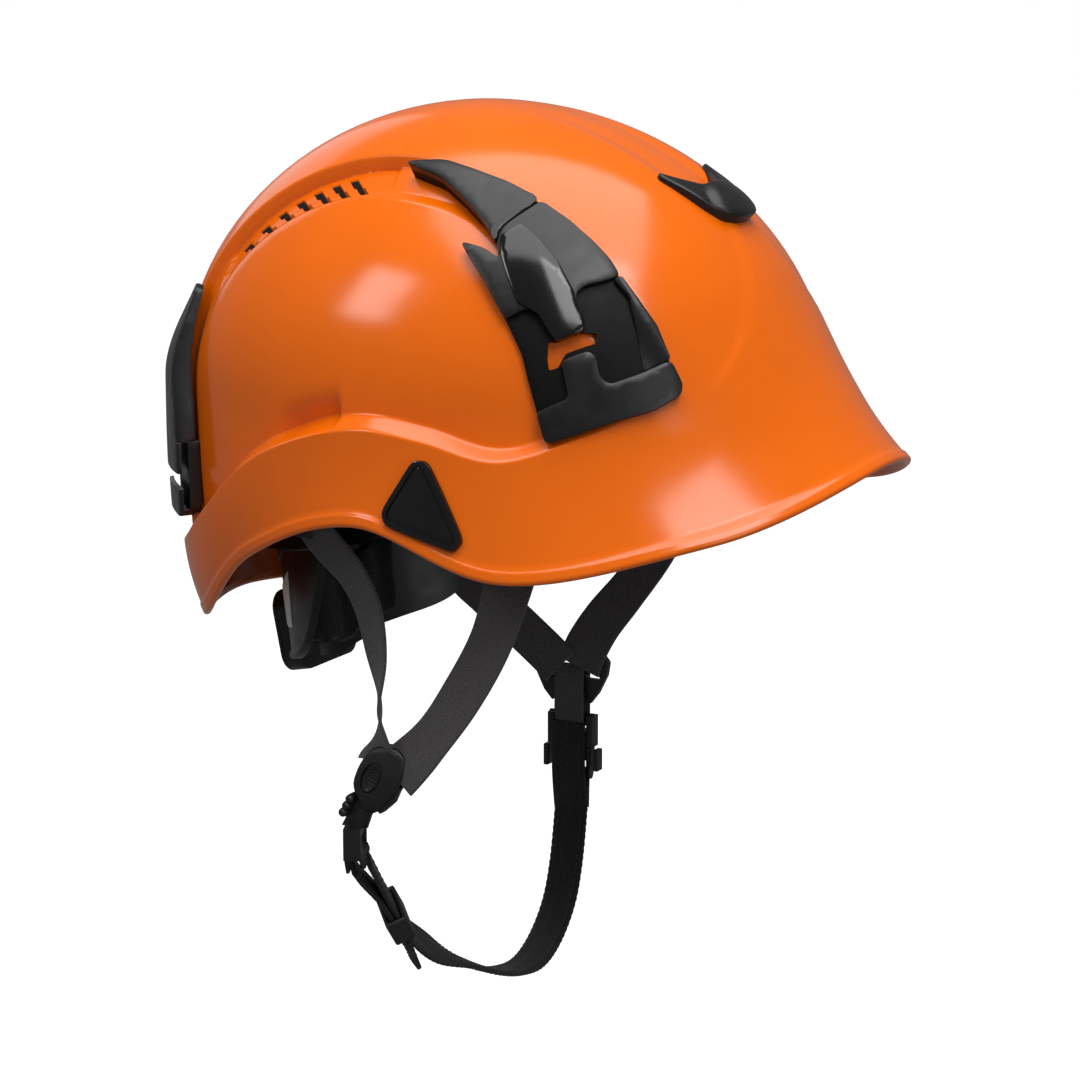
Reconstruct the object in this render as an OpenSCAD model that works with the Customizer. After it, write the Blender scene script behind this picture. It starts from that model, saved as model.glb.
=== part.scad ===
/* [Shell] */
// Half width of the dome at its widest
dome_half_w = 102; // [98:1:106]
// Reach of the dome forward of the origin
dome_front = 138; // [134:1:142]
// Reach of the dome behind the origin
dome_rear = 128; // [124:1:132]
// Height of the crown above the headband plane
dome_h = 130; // [127:1:134]
// Height at which the dome turns into the upright skirt
skirt_z = 20; // [18:1:22]
// Wall thickness of the shell
wall = 2.6; // [2.4:0.1:3]
// Forward sweep of the peak beyond the dome
peak_reach = 33; // [30:1:36]
// Step of the ledge on top of the rim band
ledge_step = 4; // [3:0.5:5]
// Depth of the ear panels below the centre hood
ear_depth = 2.5; // [2:0.1:3]

/* [Vents] */
// Number of vent slots on each side
vent_count = 7; // [5:1:8]
// Width of a vent slot
vent_w = 3.6; // [3:0.1:4]
// Pitch of the vent slots along the hood
vent_pitch = 8.2; // [8:0.1:8.6]

/* [Suspension] */
// Half width of the headband ring
band_half_w = 81; // [80:0.5:82]
// Half length of the headband ring
band_half_l = 108; // [106:1:109]
// Height of the front of the headband
band_h = 32; // [28:1:34]
// Thickness of the headband
band_t = 2; // [1.6:0.1:2.4]
// Diameter of the ratchet knob
knob_d = 28; // [24:1:28]

/* [Harness] */
// Width of the webbing
web_w = 20; // [18:0.5:20]
// Thickness of the webbing
web_t = 1.4; // [1.2:0.1:1.6]
// Width of the chin strap
chin_w = 16; // [15:0.5:17]

/* [Hidden] */

// Heights of the rim every 30 degrees and of the ledge every 15 degrees, from the front round to the rear
rim_heights = [1, -20, -36, -20, -39, -75, -77];
ledge_heights = [34, 34, 30, 16, 6, 12, 15, 9, -4, -26, -44, -50, -52];
plan_power = 2.1;
crown_power = 1.05;
hood_half_w = 66;
ledge_rise = 5;
shell_cols = 72;
dome_rows = 15;
band_rows = 5;
orange = [0.95, 0.42, 0.02];
black = [0.08, 0.08, 0.085];
webbing = [0.2, 0.18, 0.2];
chin_black = [0.1, 0.1, 0.1];
pad_grey = [0.16, 0.16, 0.17];

// ---- small helpers ----
function clamp01(v) = min(1, max(0, v));
function ease(v) = let (c = clamp01(v)) c * c * (3 - 2 * c);
function mix(p, q, k) = p + (q - p) * k;
function unit(v) = v / norm(v);
function fold(a) = let (m = ((a % 360) + 360) % 360) m > 180 ? 360 - m : m;
function knot(list, i) = let (n = len(list) - 1, j = abs(i)) list[j > n ? 2 * n - j : j];
function hermite(p, q, r, s, k) =
  0.5 * (2 * q + (r - p) * k + (2 * p - 5 * q + 4 * r - s) * k * k + (3 * q - p - 3 * r + s) * k * k * k);
function spline(list, u) = let (i = floor(u), k = u - i)
  hermite(knot(list, i - 1), knot(list, i), knot(list, i + 1), knot(list, i + 2), k);

// ---- shell surface: azimuth a from the front towards the left, fall b from the crown (0) to the skirt (90) ----
function rim_z(a) = spline(rim_heights, fold(a) / 30);
function ledge_z(a) = spline(ledge_heights, fold(a) / 15);
function plan_r(a) = let (len_y = cos(a) > 0 ? dome_front : dome_rear)
  pow(pow(abs(sin(a) / dome_half_w), plan_power) + pow(abs(cos(a) / len_y), plan_power), -1 / plan_power);
function front_share(a) = exp(-1.2 * pow(fold(a) / 65, 2));
function rear_share(a) = ease((fold(a) - 100) / 60);
function side_share(a) = clamp01(1 - front_share(a) - rear_share(a));
function flare_reach(a) = peak_reach * front_share(a) + 5 * side_share(a) - 6 * rear_share(a);
function flare_top(a) = 65 * front_share(a) + 10 * side_share(a);
function fall_z(b) = b < 90 ? skirt_z + (dome_h - skirt_z) * pow(cos(b), crown_power) : skirt_z - (b - 90);
function fall_at(z) = z > skirt_z
  ? acos(pow((z - skirt_z) / (dome_h - skirt_z), 1 / crown_power)) : 90 + skirt_z - z;
function flare(a, z) = let (k = clamp01((flare_top(a) - z) / max(5, flare_top(a) - rim_z(a))))
  flare_reach(a) * k * k;
function surf(a, b) = let (z = fall_z(b), s = sin(min(b, 90)), r = s * (plan_r(a) + flare(a, z)))
  [r * sin(a), -r * cos(a), z];
function surf_normal(a, b) = let (c = max(b, 3))
  unit(cross(surf(a, c + 0.5) - surf(a, c - 0.5), surf(a + 0.5, c) - surf(a - 0.5, c)));
function surf_out(a, b, o) = surf(a, b) + o * surf_normal(a, b);

// ---- raised and sunk areas of the shell ----
function ledge_share(a) = ease((fold(a) - 28) / 8);
function ear_share(a, b) = let (x = abs(surf(a, b)[0]))
  ease((x - hood_half_w + 4) / 8) * ledge_share(a);
// Rows down the shell at azimuth a, each with its fall and its height above the plain surface
function shell_rows(a) = let (
    b0 = fall_at(ledge_z(a) + ledge_rise),
    b2 = fall_at(ledge_z(a)),
    b3 = fall_at(rim_z(a)),
    step = ledge_step * ledge_share(a))
  concat(
    [for (j = [1:dome_rows]) let (b = b0 * j / dome_rows) [b, -ear_depth * ear_share(a, b)]],
    [[mix(b0, b2, 0.5), 0.45 * step]],
    [for (j = [0:band_rows]) let (v = j / band_rows) [mix(b2, b3, v), step * (1 - v * v)]]);
function shell_ring(grow, j) = [for (i = [0:shell_cols - 1])
  let (a = i * 360 / shell_cols, q = shell_rows(a)[j]) surf_out(a, q[0], q[1] + grow)];

// Closed rings joined into one skin, with a fan at each end
module skin(rings, first, last) {
  m = len(rings[0]);
  n = len(rings);
  function id(j, i) = j * m + (i % m);
  polyhedron(
    points = concat([for (g = rings) each g], [first, last]),
    faces = concat(
      [for (j = [0:n - 2]) for (i = [0:m - 1]) each
        [[id(j, i), id(j, i + 1), id(j + 1, i + 1)], [id(j, i), id(j + 1, i + 1), id(j + 1, i)]]],
      [for (i = [0:m - 1]) [n * m, id(0, i + 1), id(0, i)]],
      [for (i = [0:m - 1]) [n * m + 1, id(n - 1, i), id(n - 1, i + 1)]]));
}
module shell_solid(grow) {
  rows = dome_rows + band_rows + 2;
  skin([for (j = [0:rows - 1]) shell_ring(grow, j)], [0, 0, dome_h + grow], [0, 0, -20]);
}
// Bowl between two distances from the surface, from the crown down to a height that may vary with the azimuth
module bowl(outside, inside, cols, rows, low) {
  function ring(o, j) = [for (i = [0:cols - 1]) let (a = i * 360 / cols)
    surf_out(a, fall_at(low[0] + low[1] * cos(a)) * j / rows, o)];
  skin(concat([for (j = [1:rows]) ring(outside, j)], [for (j = [rows:-1:1]) ring(inside, j)]),
    [0, 0, dome_h + outside], [0, 0, dome_h + inside]);
}
// Solid under the plain surface, without the ledge and ear panels
module dome_solid(o) {
  cols = 60;
  rows = 14;
  skin([for (j = [1:rows]) [for (i = [0:cols - 1]) let (a = i * 360 / cols)
    surf_out(a, fall_at(rim_z(a)) * j / rows, o)]], [0, 0, dome_h + o], [0, 0, -20]);
}
// Local frame on the surface: X along the azimuth, Y outwards, Z up
module on_surface(a, b, o) {
  p = surf_out(a, b, o);
  n = surf_normal(a, b);
  x = unit([cos(a), sin(a), 0] - n * (n * [cos(a), sin(a), 0]));
  z = cross(x, n);
  multmatrix([for (k = [0:2]) [x[k], n[k], z[k], p[k]]]) children();
}
// Outline drawn in the side view (rearward, up) and pushed out along X
module side_prism(x0, x1) {
  translate([x0, 0, 0]) rotate([90, 0, 90]) linear_extrude(x1 - x0) children();
}
module on_side(side) { mirror([side < 0 ? 1 : 0, 0, 0]) children(); }

// Flat strip swept along a path; each stop is [point, face direction]
function spline_open(list, u) = let (
    n = len(list) - 1,
    i = min(n - 1, floor(u)),
    before = i > 0 ? list[i - 1] : 2 * list[0] - list[1],
    after = i + 2 <= n ? list[i + 2] : 2 * list[n] - list[n - 1])
  hermite(before, list[i], list[i + 1], after, u - i);
function strip_path(stops, n) = [for (i = [0:n]) let (u = i * (len(stops) - 1) / n)
  [spline_open([for (s = stops) s[0]], u), spline_open([for (s = stops) s[1]], u)]];
module strip(stops, w, t, n = 24) {
  path = strip_path(stops, n);
  rings = [for (i = [0:n]) let (
      along = unit(path[min(n, i + 1)][0] - path[max(0, i - 1)][0]),
      face = unit(path[i][1] - along * (along * path[i][1])),
      across = cross(along, face), p = path[i][0])
    [p + across * w / 2 + face * t / 2, p - across * w / 2 + face * t / 2,
     p - across * w / 2 - face * t / 2, p + across * w / 2 - face * t / 2]];
  skin(rings, mean(rings[0]), mean(rings[n]));
}
function mean(ring) = [for (k = [0:2]) (ring[0][k] + ring[1][k] + ring[2][k] + ring[3][k]) / 4];
// Upright band round the head, through sections of [azimuth, radius, middle height, height, lean]
function band_section(q, t) = let (
    d = [sin(q[0]), -cos(q[0]), 0],
    up = unit([0, 0, 1] + q[4] * d) * q[3] / 2,
    p = q[1] * d + [0, 0, q[2]])
  [p + up + d * t / 2, p + up - d * t / 2, p - up - d * t / 2, p - up + d * t / 2];
module band(rings, t) {
  sections = [for (q = rings) band_section(q, t)];
  skin(sections, mean(sections[0]), mean(sections[len(sections) - 1]));
}
function ellipse_r(a, half_x, half_y) = 1 / sqrt(pow(sin(a) / half_x, 2) + pow(cos(a) / half_y, 2));

// ---- shell ----
badge_points = [[-27, 4], [-44, -25], [-15, -17]];
module badge_outline(r) { offset(r = r, $fn = 24) offset(delta = -3) polygon(badge_points); }
module vent_slots() {
  for (i = [0:vent_count - 1]) let (y = 75 - vent_pitch * i, a = atan2(63, -y), b = vent_fall(a))
    translate(surf(a, b)) rotate([0, 0, -45]) cube([17, vent_w, 30], center = true);
}
// Fall at which the surface at azimuth a is 63 mm from the centre plane
function vent_fall(a) = let (f = [for (b = [20:1:88]) if (surf(a, b)[0] < 63) b]) f[len(f) - 1];
module shell_skin() {
  rows = dome_rows + band_rows + 2;
  skin(concat([for (j = [0:rows - 1]) shell_ring(0, j)], [for (j = [rows - 1:-1:0]) shell_ring(-wall, j)]),
    [0, 0, dome_h], [0, 0, dome_h - wall]);
}
module outer_shell() color(orange) resize([0, 0, 0]) difference() {
  shell_skin();
  for (side = [-1, 1]) on_side(side) {
    vent_slots();
    side_prism(90, 120) badge_outline(0.4);
  }
}
module impact_liner() color(black) bowl(-ear_depth - wall - 0.8, -10.5, 36, 8, [56, 0]);

// ---- clips ----
// Side view of a front clip: upper tip and front edge, bottom edge, rear edge, notch
front_outline = [[4, 109], [-9, 112], [-25, 110], [-40, 105], [-55, 98], [-70, 89], [-81, 80], [-90, 70],
  [-98, 60], [-107, 47], [-114, 34], [-112, 31], [-100, 26], [-88, 21], [-78, 16], [-72, 14],
  [-68, 27], [-63, 41], [-56, 53], [-46, 67], [-39, 75], [-32, 85],
  [-44, 80], [-37, 88], [-25, 96], [-12, 101]];
band_gap = [[-72, 54], [-86, 54], [-86, 49], [-76, 49], [-76, 38], [-72, 38]];
module lamp_clip_front(side) color(black) resize([0, 0, 0]) difference() {
  intersection() {
    on_side(side) side_prism(50, 110) polygon(front_outline);
    dome_solid(3.5);
  }
  shell_solid(0.35);
  on_side(side) side_prism(50, 110) polygon(band_gap);
}
rear_outline = [[3, 57], [-3, 54], [-10, 25], [-14, -5], [-14, -33], [13, -33], [14, -4], [10, 25]];
// Channel behind two facing hooks: height range of the channel, then of the way in between the hooks
hook_channel = [-31, -4];
hook_gap = [-21.5, -16.5];
module level(z0, z1) { translate([-150, -150, z0]) cube([300, 300, z1 - z0]); }
module lamp_clip_rear(side) color(black) resize([0, 0, 0]) difference() {
  intersection() {
    on_side(side) rotate([0, 0, 60]) side_prism(60, 130) polygon(rear_outline);
    dome_solid(8);
  }
  shell_solid(0.35);
  difference() {
    union() {
      intersection() {
        dome_solid(6);
        level(hook_channel[0], hook_channel[1]);
      }
      level(hook_gap[0], hook_gap[1]);
    }
    dome_solid(3.5);
  }
}
// Half outline of the front hook, from its nose round to the tip of its arm
hook_outline = [[0, -107], [10, -105], [15, -101], [18, -93], [21, -84],
  [20, -81], [14, -86], [8, -92], [0, -94]];
module front_clip() color(black) resize([0, 0, 0]) difference() {
  intersection() {
    for (side = [-1, 1]) on_side(side) translate([0, 0, 60]) linear_extrude(70) polygon(hook_outline);
    union() {
      dome_solid(4);
      intersection() {
        dome_solid(8);
        translate([-8, -108, 60]) cube([16, 12, 70]);
      }
    }
  }
  shell_solid(0.35);
}
module badge_plug(side) color(black) resize([0, 0, 0]) {
  difference() {
    intersection() {
      on_side(side) side_prism(95, 125) badge_outline(3.4);
      shell_solid(2.4);
    }
    shell_solid(0.3);
  }
  intersection() {
    on_side(side) side_prism(98, 125) badge_outline(0);
    shell_solid(1.2);
  }
}

// ---- suspension inside the shell ----
key_angles = [48, 132];
key_bottom = 36;
key_top = 48;
ribbon_r = [93.2, 92];
function ring_r(a) = ellipse_r(a, band_half_w, band_half_l);
function ring_normal(a) = atan2(sin(a) / pow(band_half_w, 2), cos(a) / pow(band_half_l, 2));
function band_mid(a) = mix(18, -28, ease(fold(a) / 145));
function shell_inner_r(a, z) = let (p = surf_out(a, fall_at(z), -ear_depth - wall - 0.4)) norm([p[0], p[1]]);
function key_reach(a) = min([for (d = [-8:2:8]) shell_inner_r(a + d, key_top) * cos(d)]) - 1;
function band_rings(a0, a1, n, dr, dz, h) = [for (i = [0:n]) let (a = mix(a0, a1, i / n))
  [a, ring_r(a) + dr, band_mid(a) + dz, h, 0]];
module headband() color(black) difference() {
  band(band_rings(-138, 138, 48, 0, 0, band_h + 2), band_t);
  for (side = [-1, 1]) translate([side * 75, nape_y, nape_z]) rotate([0, 90, 0])
    cylinder(h = 30, r = 3.05, center = true, $fn = 32);
}
// Bracket between the headband's outer face and the underside of a key
module headband_link(a) {
  z0 = band_mid(a) + 8;
  translate([ring_r(a) * sin(a), -ring_r(a) * cos(a), z0]) rotate([0, 0, ring_normal(a)])
    translate([-8, -band_t / 2 - 2, 0]) cube([16, 1.8, key_bottom - z0 - 0.1]);
}
module headband_links() color(black) for (side = [-1, 1]) on_side(side) for (a = key_angles) headband_link(a);
module cradle_key(a) rotate([0, 0, a]) difference() {
  translate([-12, -key_reach(a), key_bottom]) cube([24, key_reach(a) - ring_r(a) + 0.5, key_top - key_bottom]);
  translate([-9.6, -ribbon_r[0] - 1.3, key_bottom - 1]) cube([19.2, 3.8, 20]);
}
module cradle_keys() color(black) for (side = [-1, 1]) on_side(side) for (a = key_angles) cradle_key(a);
// One ribbon from the front key on its own side over the crown to the opposite rear key
module cradle_ribbon(side) {
  top = side > 0 ? 53 : 51;
  arch = [for (s = [-90:15:90]) let (r = s < 0 ? ribbon_r[0] : ribbon_r[1])
    [[0, r * sin(s) * (1 - 0.075 * cos(s)), 50 + top * cos(s)], [0, sin(s), cos(s)]]];
  rotate([0, 0, side * 48]) strip(concat(
    [[[0, -ribbon_r[0], 39], [0, -1, 0]]], arch, [[[0, ribbon_r[1], 39], [0, 1, 0]]]), 18, 1.2, 32);
}
module cradle_ribbons() color(webbing) for (side = [-1, 1]) cradle_ribbon(side);
module crown_pad() color(pad_grey) rotate_extrude($fn = 48)
  polygon([[0, 94], [20, 93.2], [34, 90.5], [38, 91], [38, 93.5], [30, 95.6], [16, 98], [0, 98.8]]);
module brow_pad() color(pad_grey) band(band_rings(-52, 52, 20, -4.2, 0, 28), 5.6);

// ---- nape cradle and ratchet ----
nape_y = 38;
nape_z = -22;
nape_top = -10;
nape_bottom = -34;
// How far the middle of the cradle is set in to take the ratchet
nape_set = 6;
ratchet_y = 80.4;
ratchet_z = -89;
function nape_share(a) = clamp01((fold(a) - 116) / 64);
function nape_low(k) = nape_bottom - 52 * (1 - pow(1 - k, 10)) - 17 * k;
function nape_high(k) = nape_top - 38 * (1 - pow(1 - k, 3)) - 12 * k;
function nape_ring(a, dr, trim) = let (k = nape_share(a))
  [a, ellipse_r(a, 79, 84) - nape_set * ease((fold(a) - 156) / 10) + dr, (nape_low(k) + nape_high(k)) / 2, nape_high(k) - nape_low(k) - 2 * trim, 0.2 * k];
function nape_rings(a0, a1, n, dr, trim) = [for (i = [0:n]) nape_ring(mix(a0, a1, i / n), dr, trim)];
module nape_pivot_pin() {
  translate([0, 0, 66.5]) cylinder(h = 13, r = 3, $fn = 32);
  translate([0, 0, 78.4]) cylinder(h = 2, r = 5, $fn = 32);
}
module nape_pivot_pins() color(black) for (side = [-1, 1])
  translate([0, nape_y, nape_z]) rotate([0, side * 90, 0]) nape_pivot_pin();
module nape_cradle() color(black) difference() {
  band(nape_rings(113, 247, 67, 0, 0), 2.4);
  for (side = [-1, 1]) translate([side * 70, nape_y, nape_z]) rotate([0, 90, 0])
    cylinder(h = 16, r = 3.06, center = true, $fn = 32);
}
module at_ratchet() { translate([0, ratchet_y, ratchet_z]) rotate([-11.5, 0, 0]) children(); }
// Upright plate with round corners, in the ratchet's local frame
module plate_xz(w, h, y0, y1, r) {
  translate([0, y1, 0]) rotate([90, 0, 0]) linear_extrude(y1 - y0)
    offset(r = r, $fn = 32) square([w - 2 * r, h - 2 * r], center = true);
}
module ratchet_housing() color(black) at_ratchet() difference() {
  plate_xz(46, 34, 0, 7, 8);
  plate_xz(41, 26, 1.5, 7.1, 3);
}
module ratchet_cover() color(black) at_ratchet() difference() {
  plate_xz(46, 34, 7.05, 9, 8);
  translate([0, 10, 0]) rotate([90, 0, 0]) cylinder(h = 4, r = 5.1, $fn = 40);
}
tooth_pitch = 3.2;
tooth_count = 12;
pitch_r = tooth_pitch * tooth_count / (2 * PI);
rack_teeth = 7;
rack_start = -4.5 * tooth_pitch;
module rack_profile() {
  polygon(concat([[-19, 6.1], [-19, 1.1]],
    [for (i = [0:rack_teeth - 1]) let (x = rack_start + tooth_pitch * i) each
      [[x - 0.75, 1.1], [x - 0.3, -0.7], [x + 0.3, -0.7], [x + 0.75, 1.1]]],
    [[8, 1.1], [8, 6.1]]));
}
module rack_plate() {
  translate([0, 4.6, 0]) rotate([90, 0, 0]) linear_extrude(2.4) translate([0, pitch_r]) rack_profile();
}
module rack_right() color(black) at_ratchet() rack_plate();
module rack_left() color(black) at_ratchet() rotate([0, 180, 0]) rack_plate();
module ratchet_pinion() color(chin_black) at_ratchet() rotate([-90, 0, 0]) {
  translate([0, 0, 2.1]) linear_extrude(2.6) difference() {
    union() {
      circle(r = pitch_r - 1, $fn = 48);
      for (i = [0:tooth_count - 1]) rotate(i * 360 / tooth_count)
        polygon([[pitch_r - 1.2, -0.8], [pitch_r + 0.9, -0.3], [pitch_r + 0.9, 0.3], [pitch_r - 1.2, 0.8]]);
    }
    circle(r = 1.6, $fn = 24);
  }
  translate([0, 0, 4.7]) linear_extrude(4.6) difference() {
    circle(r = 5.04, $fn = 40);
    circle(r = 1.6, $fn = 24);
  }
}
module ratchet_knob() color(black) at_ratchet() rotate([-90, 0, 0]) difference() {
  translate([0, 0, 9.35]) linear_extrude(5) offset(r = 1, $fn = 24) offset(delta = -1) difference() {
    circle(d = knob_d, $fn = 60);
    for (i = [0:11]) rotate(i * 30) translate([knob_d / 2 + 0.8, 0]) circle(r = 2, $fn = 20);
  }
  translate([0, 0, 11.6]) cylinder(h = 6, r = 3.4, $fn = 32);
  cylinder(h = 30, r = 1.65, $fn = 24);
}
module knob_screw() color("silver") at_ratchet() rotate([-90, 0, 0]) difference() {
  union() {
    translate([0, 0, 2.4]) cylinder(h = 9.4, r = 1.55, $fn = 24);
    translate([0, 0, 11.62]) cylinder(h = 2.2, r = 3.2, $fn = 32);
  }
  translate([0, 0, 13.8]) cube([0.8, 4.6, 2], center = true);
  translate([0, 0, 13.8]) cube([4.6, 0.8, 2], center = true);
}
module nape_pad() color(pad_grey) band(nape_rings(150, 210, 16, -4.4, 5), 5.4);
module care_label() color("white") band(nape_rings(207, 221, 6, 1.5, 13), 0.3);

// ---- harness ----
swing_y = 8;
swing_z = -131;
front_anchor = [57, 122];
rear_anchor = [109, 130.6];
module strap_anchor(at, o) on_surface(at[0], at[1], o) difference() {
  translate([-13, -1.4, -8]) cube([26, 2.8, 16]);
  translate([-10.6, -3, -5]) cube([21.2, 6, 3]);
}
module strap_anchors_front() color(black) for (side = [-1, 1]) on_side(side) strap_anchor(front_anchor, -2.6);
module strap_anchors_rear() color(black) for (side = [-1, 1]) on_side(side) strap_anchor(rear_anchor, -4);
out = [1, 0, 0];
front_stops_right = [[[-85.5, -60, -14], [-0.85, -0.5, 0]], [[-86.5, -58, -26], [-0.9, -0.3, 0]],
  [[-87, -54, -44], -out], [[-87, -47, -66], [-0.96, 0.25, 0]], [[-87, -37, -88], [-0.96, 0.25, 0]],
  [[-87.2, -25, -107], [-0.98, 0.15, 0]], [[-87.2, -14, -119], -out]];
front_stops_left = [[[85.5, -60, -14], [0.85, -0.5, 0]], [[86.5, -54, -28], [0.9, -0.35, 0]], [[86.5, -44, -46], out],
  [[86, -32, -66], [0.98, 0.2, 0]], [[84.5, -19, -83], [0.98, 0.2, 0]], [[83.5, -8, -97], out], [[82.1, -1, -110], out]];
rear_stops_right = [[[-92.6, 31.6, -21], [-0.95, 0.32, 0]], [[-89.6, 28.6, -32], [-0.95, 0.32, -0.1]],
  [[-84.6, 20, -46], [-0.75, 0.65, 0]], [[-82, 14, -60], [-0.6, 0.8, 0]], [[-82, 10, -80], [-0.47, 0.88, 0]],
  [[-83.2, 7.5, -98], [-0.5, 0.86, 0]], [[-85.9, 5.5, -110], -out], [[-86.2, 5, -117], -out]];
rear_stops_left = [[[92.6, 31.6, -21], [0.95, 0.32, 0]], [[89.6, 33, -32], [0.95, 0.32, -0.1]],
  [[84, 50, -52], [0.85, 0.5, 0]], [[79, 60, -66], [0.9, 0.3, 0]], [[78, 59, -80], [0.95, 0.2, -0.1]],
  [[79, 50, -91], out], [[81, 36, -103], out], [[82.1, 21, -113], out]];
module front_strap_right() color(webbing) strip(front_stops_right, web_w, web_t);
module front_strap_left() color(webbing) strip(front_stops_left, web_w, web_t);
module rear_strap_right() color(webbing) strip(rear_stops_right, web_w, web_t, 28);
module rear_strap_left() color(webbing) strip(rear_stops_left, web_w, web_t, 28);

// Adjuster on the right: two plates with the webbing and the buckle's eye between them
pod_outline = [[6, 12], [-1, 16], [-6, 14.5], [-10, 6], [-9.5, -6],
  [-1.5, -15], [1, -15.5], [11.5, -8], [12, -4]];
pod_gap = 1.6;
eye_r = 4.6;
stud_r = 2.5;
module at_slider() { translate([-86.3, 4, -129]) rotate([25, 0, 0]) children(); }
module at_button() { at_slider() translate([0, 0.5, 1]) rotate([20, 0, 0]) rotate([0, 90, 0]) children(); }
module pod_plate(x0, x1, grow) {
  at_slider() side_prism(x0, x1) offset(r = grow, $fn = 32) offset(delta = -2) polygon(pod_outline);
}
module slider_right() color(black) {
  difference() {
    union() {
      pod_plate(-5, -pod_gap, 0.6);
      pod_plate(-3.8, -pod_gap, 2);
    }
    at_button() translate([0, 0, -6]) scale([1.55, 1, 1]) cylinder(h = 5, r = 5.2, $fn = 40);
  }
  pod_plate(pod_gap, 3.6, 1.6);
  at_slider() translate([-pod_gap - 0.1, -9.4, -5]) cube([2 * pod_gap + 0.2, 1.6, 9]);
  at_slider() translate([-pod_gap - 0.1, 9.6, -3]) cube([2 * pod_gap + 0.2, 1.6, 4]);
  translate([-87.4, swing_y, swing_z]) rotate([0, 90, 0]) cylinder(h = 3.2, r = stud_r, $fn = 40);
}
module slider_button() color(chin_black) at_button() translate([0, 0, -4.6])
  scale([1.55, 1, 1]) cylinder(h = 1.7, r = 4.8, $fn = 40);
module buckle_right() color(black) difference() {
  union() {
    translate([-87.2, swing_y, swing_z]) rotate([0, 90, 0]) cylinder(h = 1.8, r = eye_r, $fn = 40);
    side_prism(-87.2, -85.4) polygon([[4.2, -133], [12.4, -132], [20, -146], [9, -146]]);
    translate([-85.5, 15, 0]) rotate([0, 0, -66]) {
      for (y = [-10.6, 8]) translate([-3.4, y, -157.2]) cube([6.8, 2.6, 12.2]);
      translate([-3.4, -10.6, -148]) cube([6.8, 21.2, 3.4]);
      translate([0, -10.6, -155.6]) rotate([-90, 0, 0]) cylinder(h = 21.2, r = 1.6, $fn = 32);
    }
  }
  translate([-90, swing_y, swing_z]) rotate([0, 90, 0]) cylinder(h = 10, r = stud_r + 0.05, $fn = 40);
}

// Plate on the left: the webbing folds round it, and the loop slides along its arch
plate_outline = [[25, -122], [22, -117.5], [8, -111.5], [-6, -110.5], [-10, -115],
  [-9, -121], [-5, -129], [0, -135.5], [16, -135.5], [21, -130]];
arch_inner_r = 8;
arch_outer_r = 11.4;
arc_slot_r = 16.4;
module arch_circle(r) { translate([swing_y, swing_z]) circle(r = r, $fn = 60); }
module y_plate_left() color(black) side_prism(83, 86) difference() {
  offset(r = 2, $fn = 32) offset(delta = -2) polygon(plate_outline);
  translate([swing_y, -137]) circle(r = 9.4, $fn = 60);
  arch_circle(arch_inner_r);
  intersection() {
    difference() {
      arch_circle(arc_slot_r);
      arch_circle(arch_outer_r);
    }
    translate([-8, -123]) square([32, 12]);
  }
}
buckle_x = 84.5;
bar_z = -140.5;
loop_top = -121.4;
loop_w = 14;
module loop_outline(r) hull() for (z = [loop_top, bar_z]) translate([0, z]) circle(r = r, $fn = 40);
module loop_strap_left() color(webbing)
  translate([buckle_x, swing_y + loop_w / 2, 0]) rotate([90, 0, 0]) linear_extrude(loop_w) difference() {
    loop_outline(3.9);
    loop_outline(2.6);
  }
module cross_bar(y, z, len, r) {
  translate([buckle_x, y, z]) rotate([-90, 0, 0]) cylinder(h = len, r = r, $fn = 32);
}
module buckle_socket_left() color(black) difference() {
  union() {
    cross_bar(-2.5, bar_z, 21, 1.9);
    for (y = [-3, 15.6]) translate([81.5, y, -153]) cube([6, 2.8, 13.7]);
    translate([81.5, -3, -153]) cube([6, 21.4, 7]);
  }
  translate([82.6, -1, -154]) cube([3.8, 17.4, 6.6]);
}
module buckle_plug_left() color(black) {
  translate([81.5, -1.5, -159]) cube([6, 18.4, 5.6]);
  for (y = [-0.2, 12.8]) translate([83, y, -153.6]) cube([3, 2.8, 5.6]);
  translate([83, 6.3, -153.6]) cube([3, 2.8, 5]);
  for (y = [-1.5, 15]) translate([82.5, y, -166]) cube([4, 1.9, 7.2]);
  cross_bar(-1.5, -166, 18.4, 1.6);
}
module buckle_tab(y) { translate([82, y, -163.5]) cube([5, 2.2, 9.5]); }
module buckle_tab_front() color(black) buckle_tab(-5.4);
module buckle_tab_rear() color(black) buckle_tab(18.6);

// Direction of the strap through the keeper, and its face there, turned forward by a twist on the way up
run = [0.586, -0.073, -0.806];
twist = [-0.23, 0.94, -0.25];
keeper_at = [-62.8, 9.3, -187.5];
chin_stops = [[[84.5, 7.8, -169], out], [[83.5, 8, -182], out], [[77, 7, -204], [0.95, 0, -0.3]],
  [[68, 6, -220], [0.8, 0, -0.6]], [[53, 5, -232], [0.45, 0, -0.9]], [[36, 4, -237], [0.1, 0, -1]],
  [[18, 4, -235], [-0.15, 0, -1]], [[0, 4, -229], [-0.35, 0.05, -0.95]], [[-22, 5, -218], [-0.5, 0.3, -0.8]],
  [[-42, 6.8, -207], [-0.45, 0.75, -0.5]], [keeper_at + 10 * run, twist], [keeper_at, twist],
  [keeper_at - 14 * run, twist], [[-77.4, 10.6, -167], twist], [[-83.4, 11.2, -158.4], twist]];
tail_stops = [[[-84.1, 17.8, -162], twist], [[-79.2, 16.2, -168.5], twist],
  [keeper_at - 13 * run + 2.7 * twist, twist], [keeper_at + 2.7 * twist, twist],
  [keeper_at + 11 * run + 2.7 * twist, twist], [[-49, 13.4, -205], twist], [[-42, 14.6, -211], twist]];
module chin_strap() color(chin_black) strip(chin_stops, chin_w, 2.2, 56);
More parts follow.
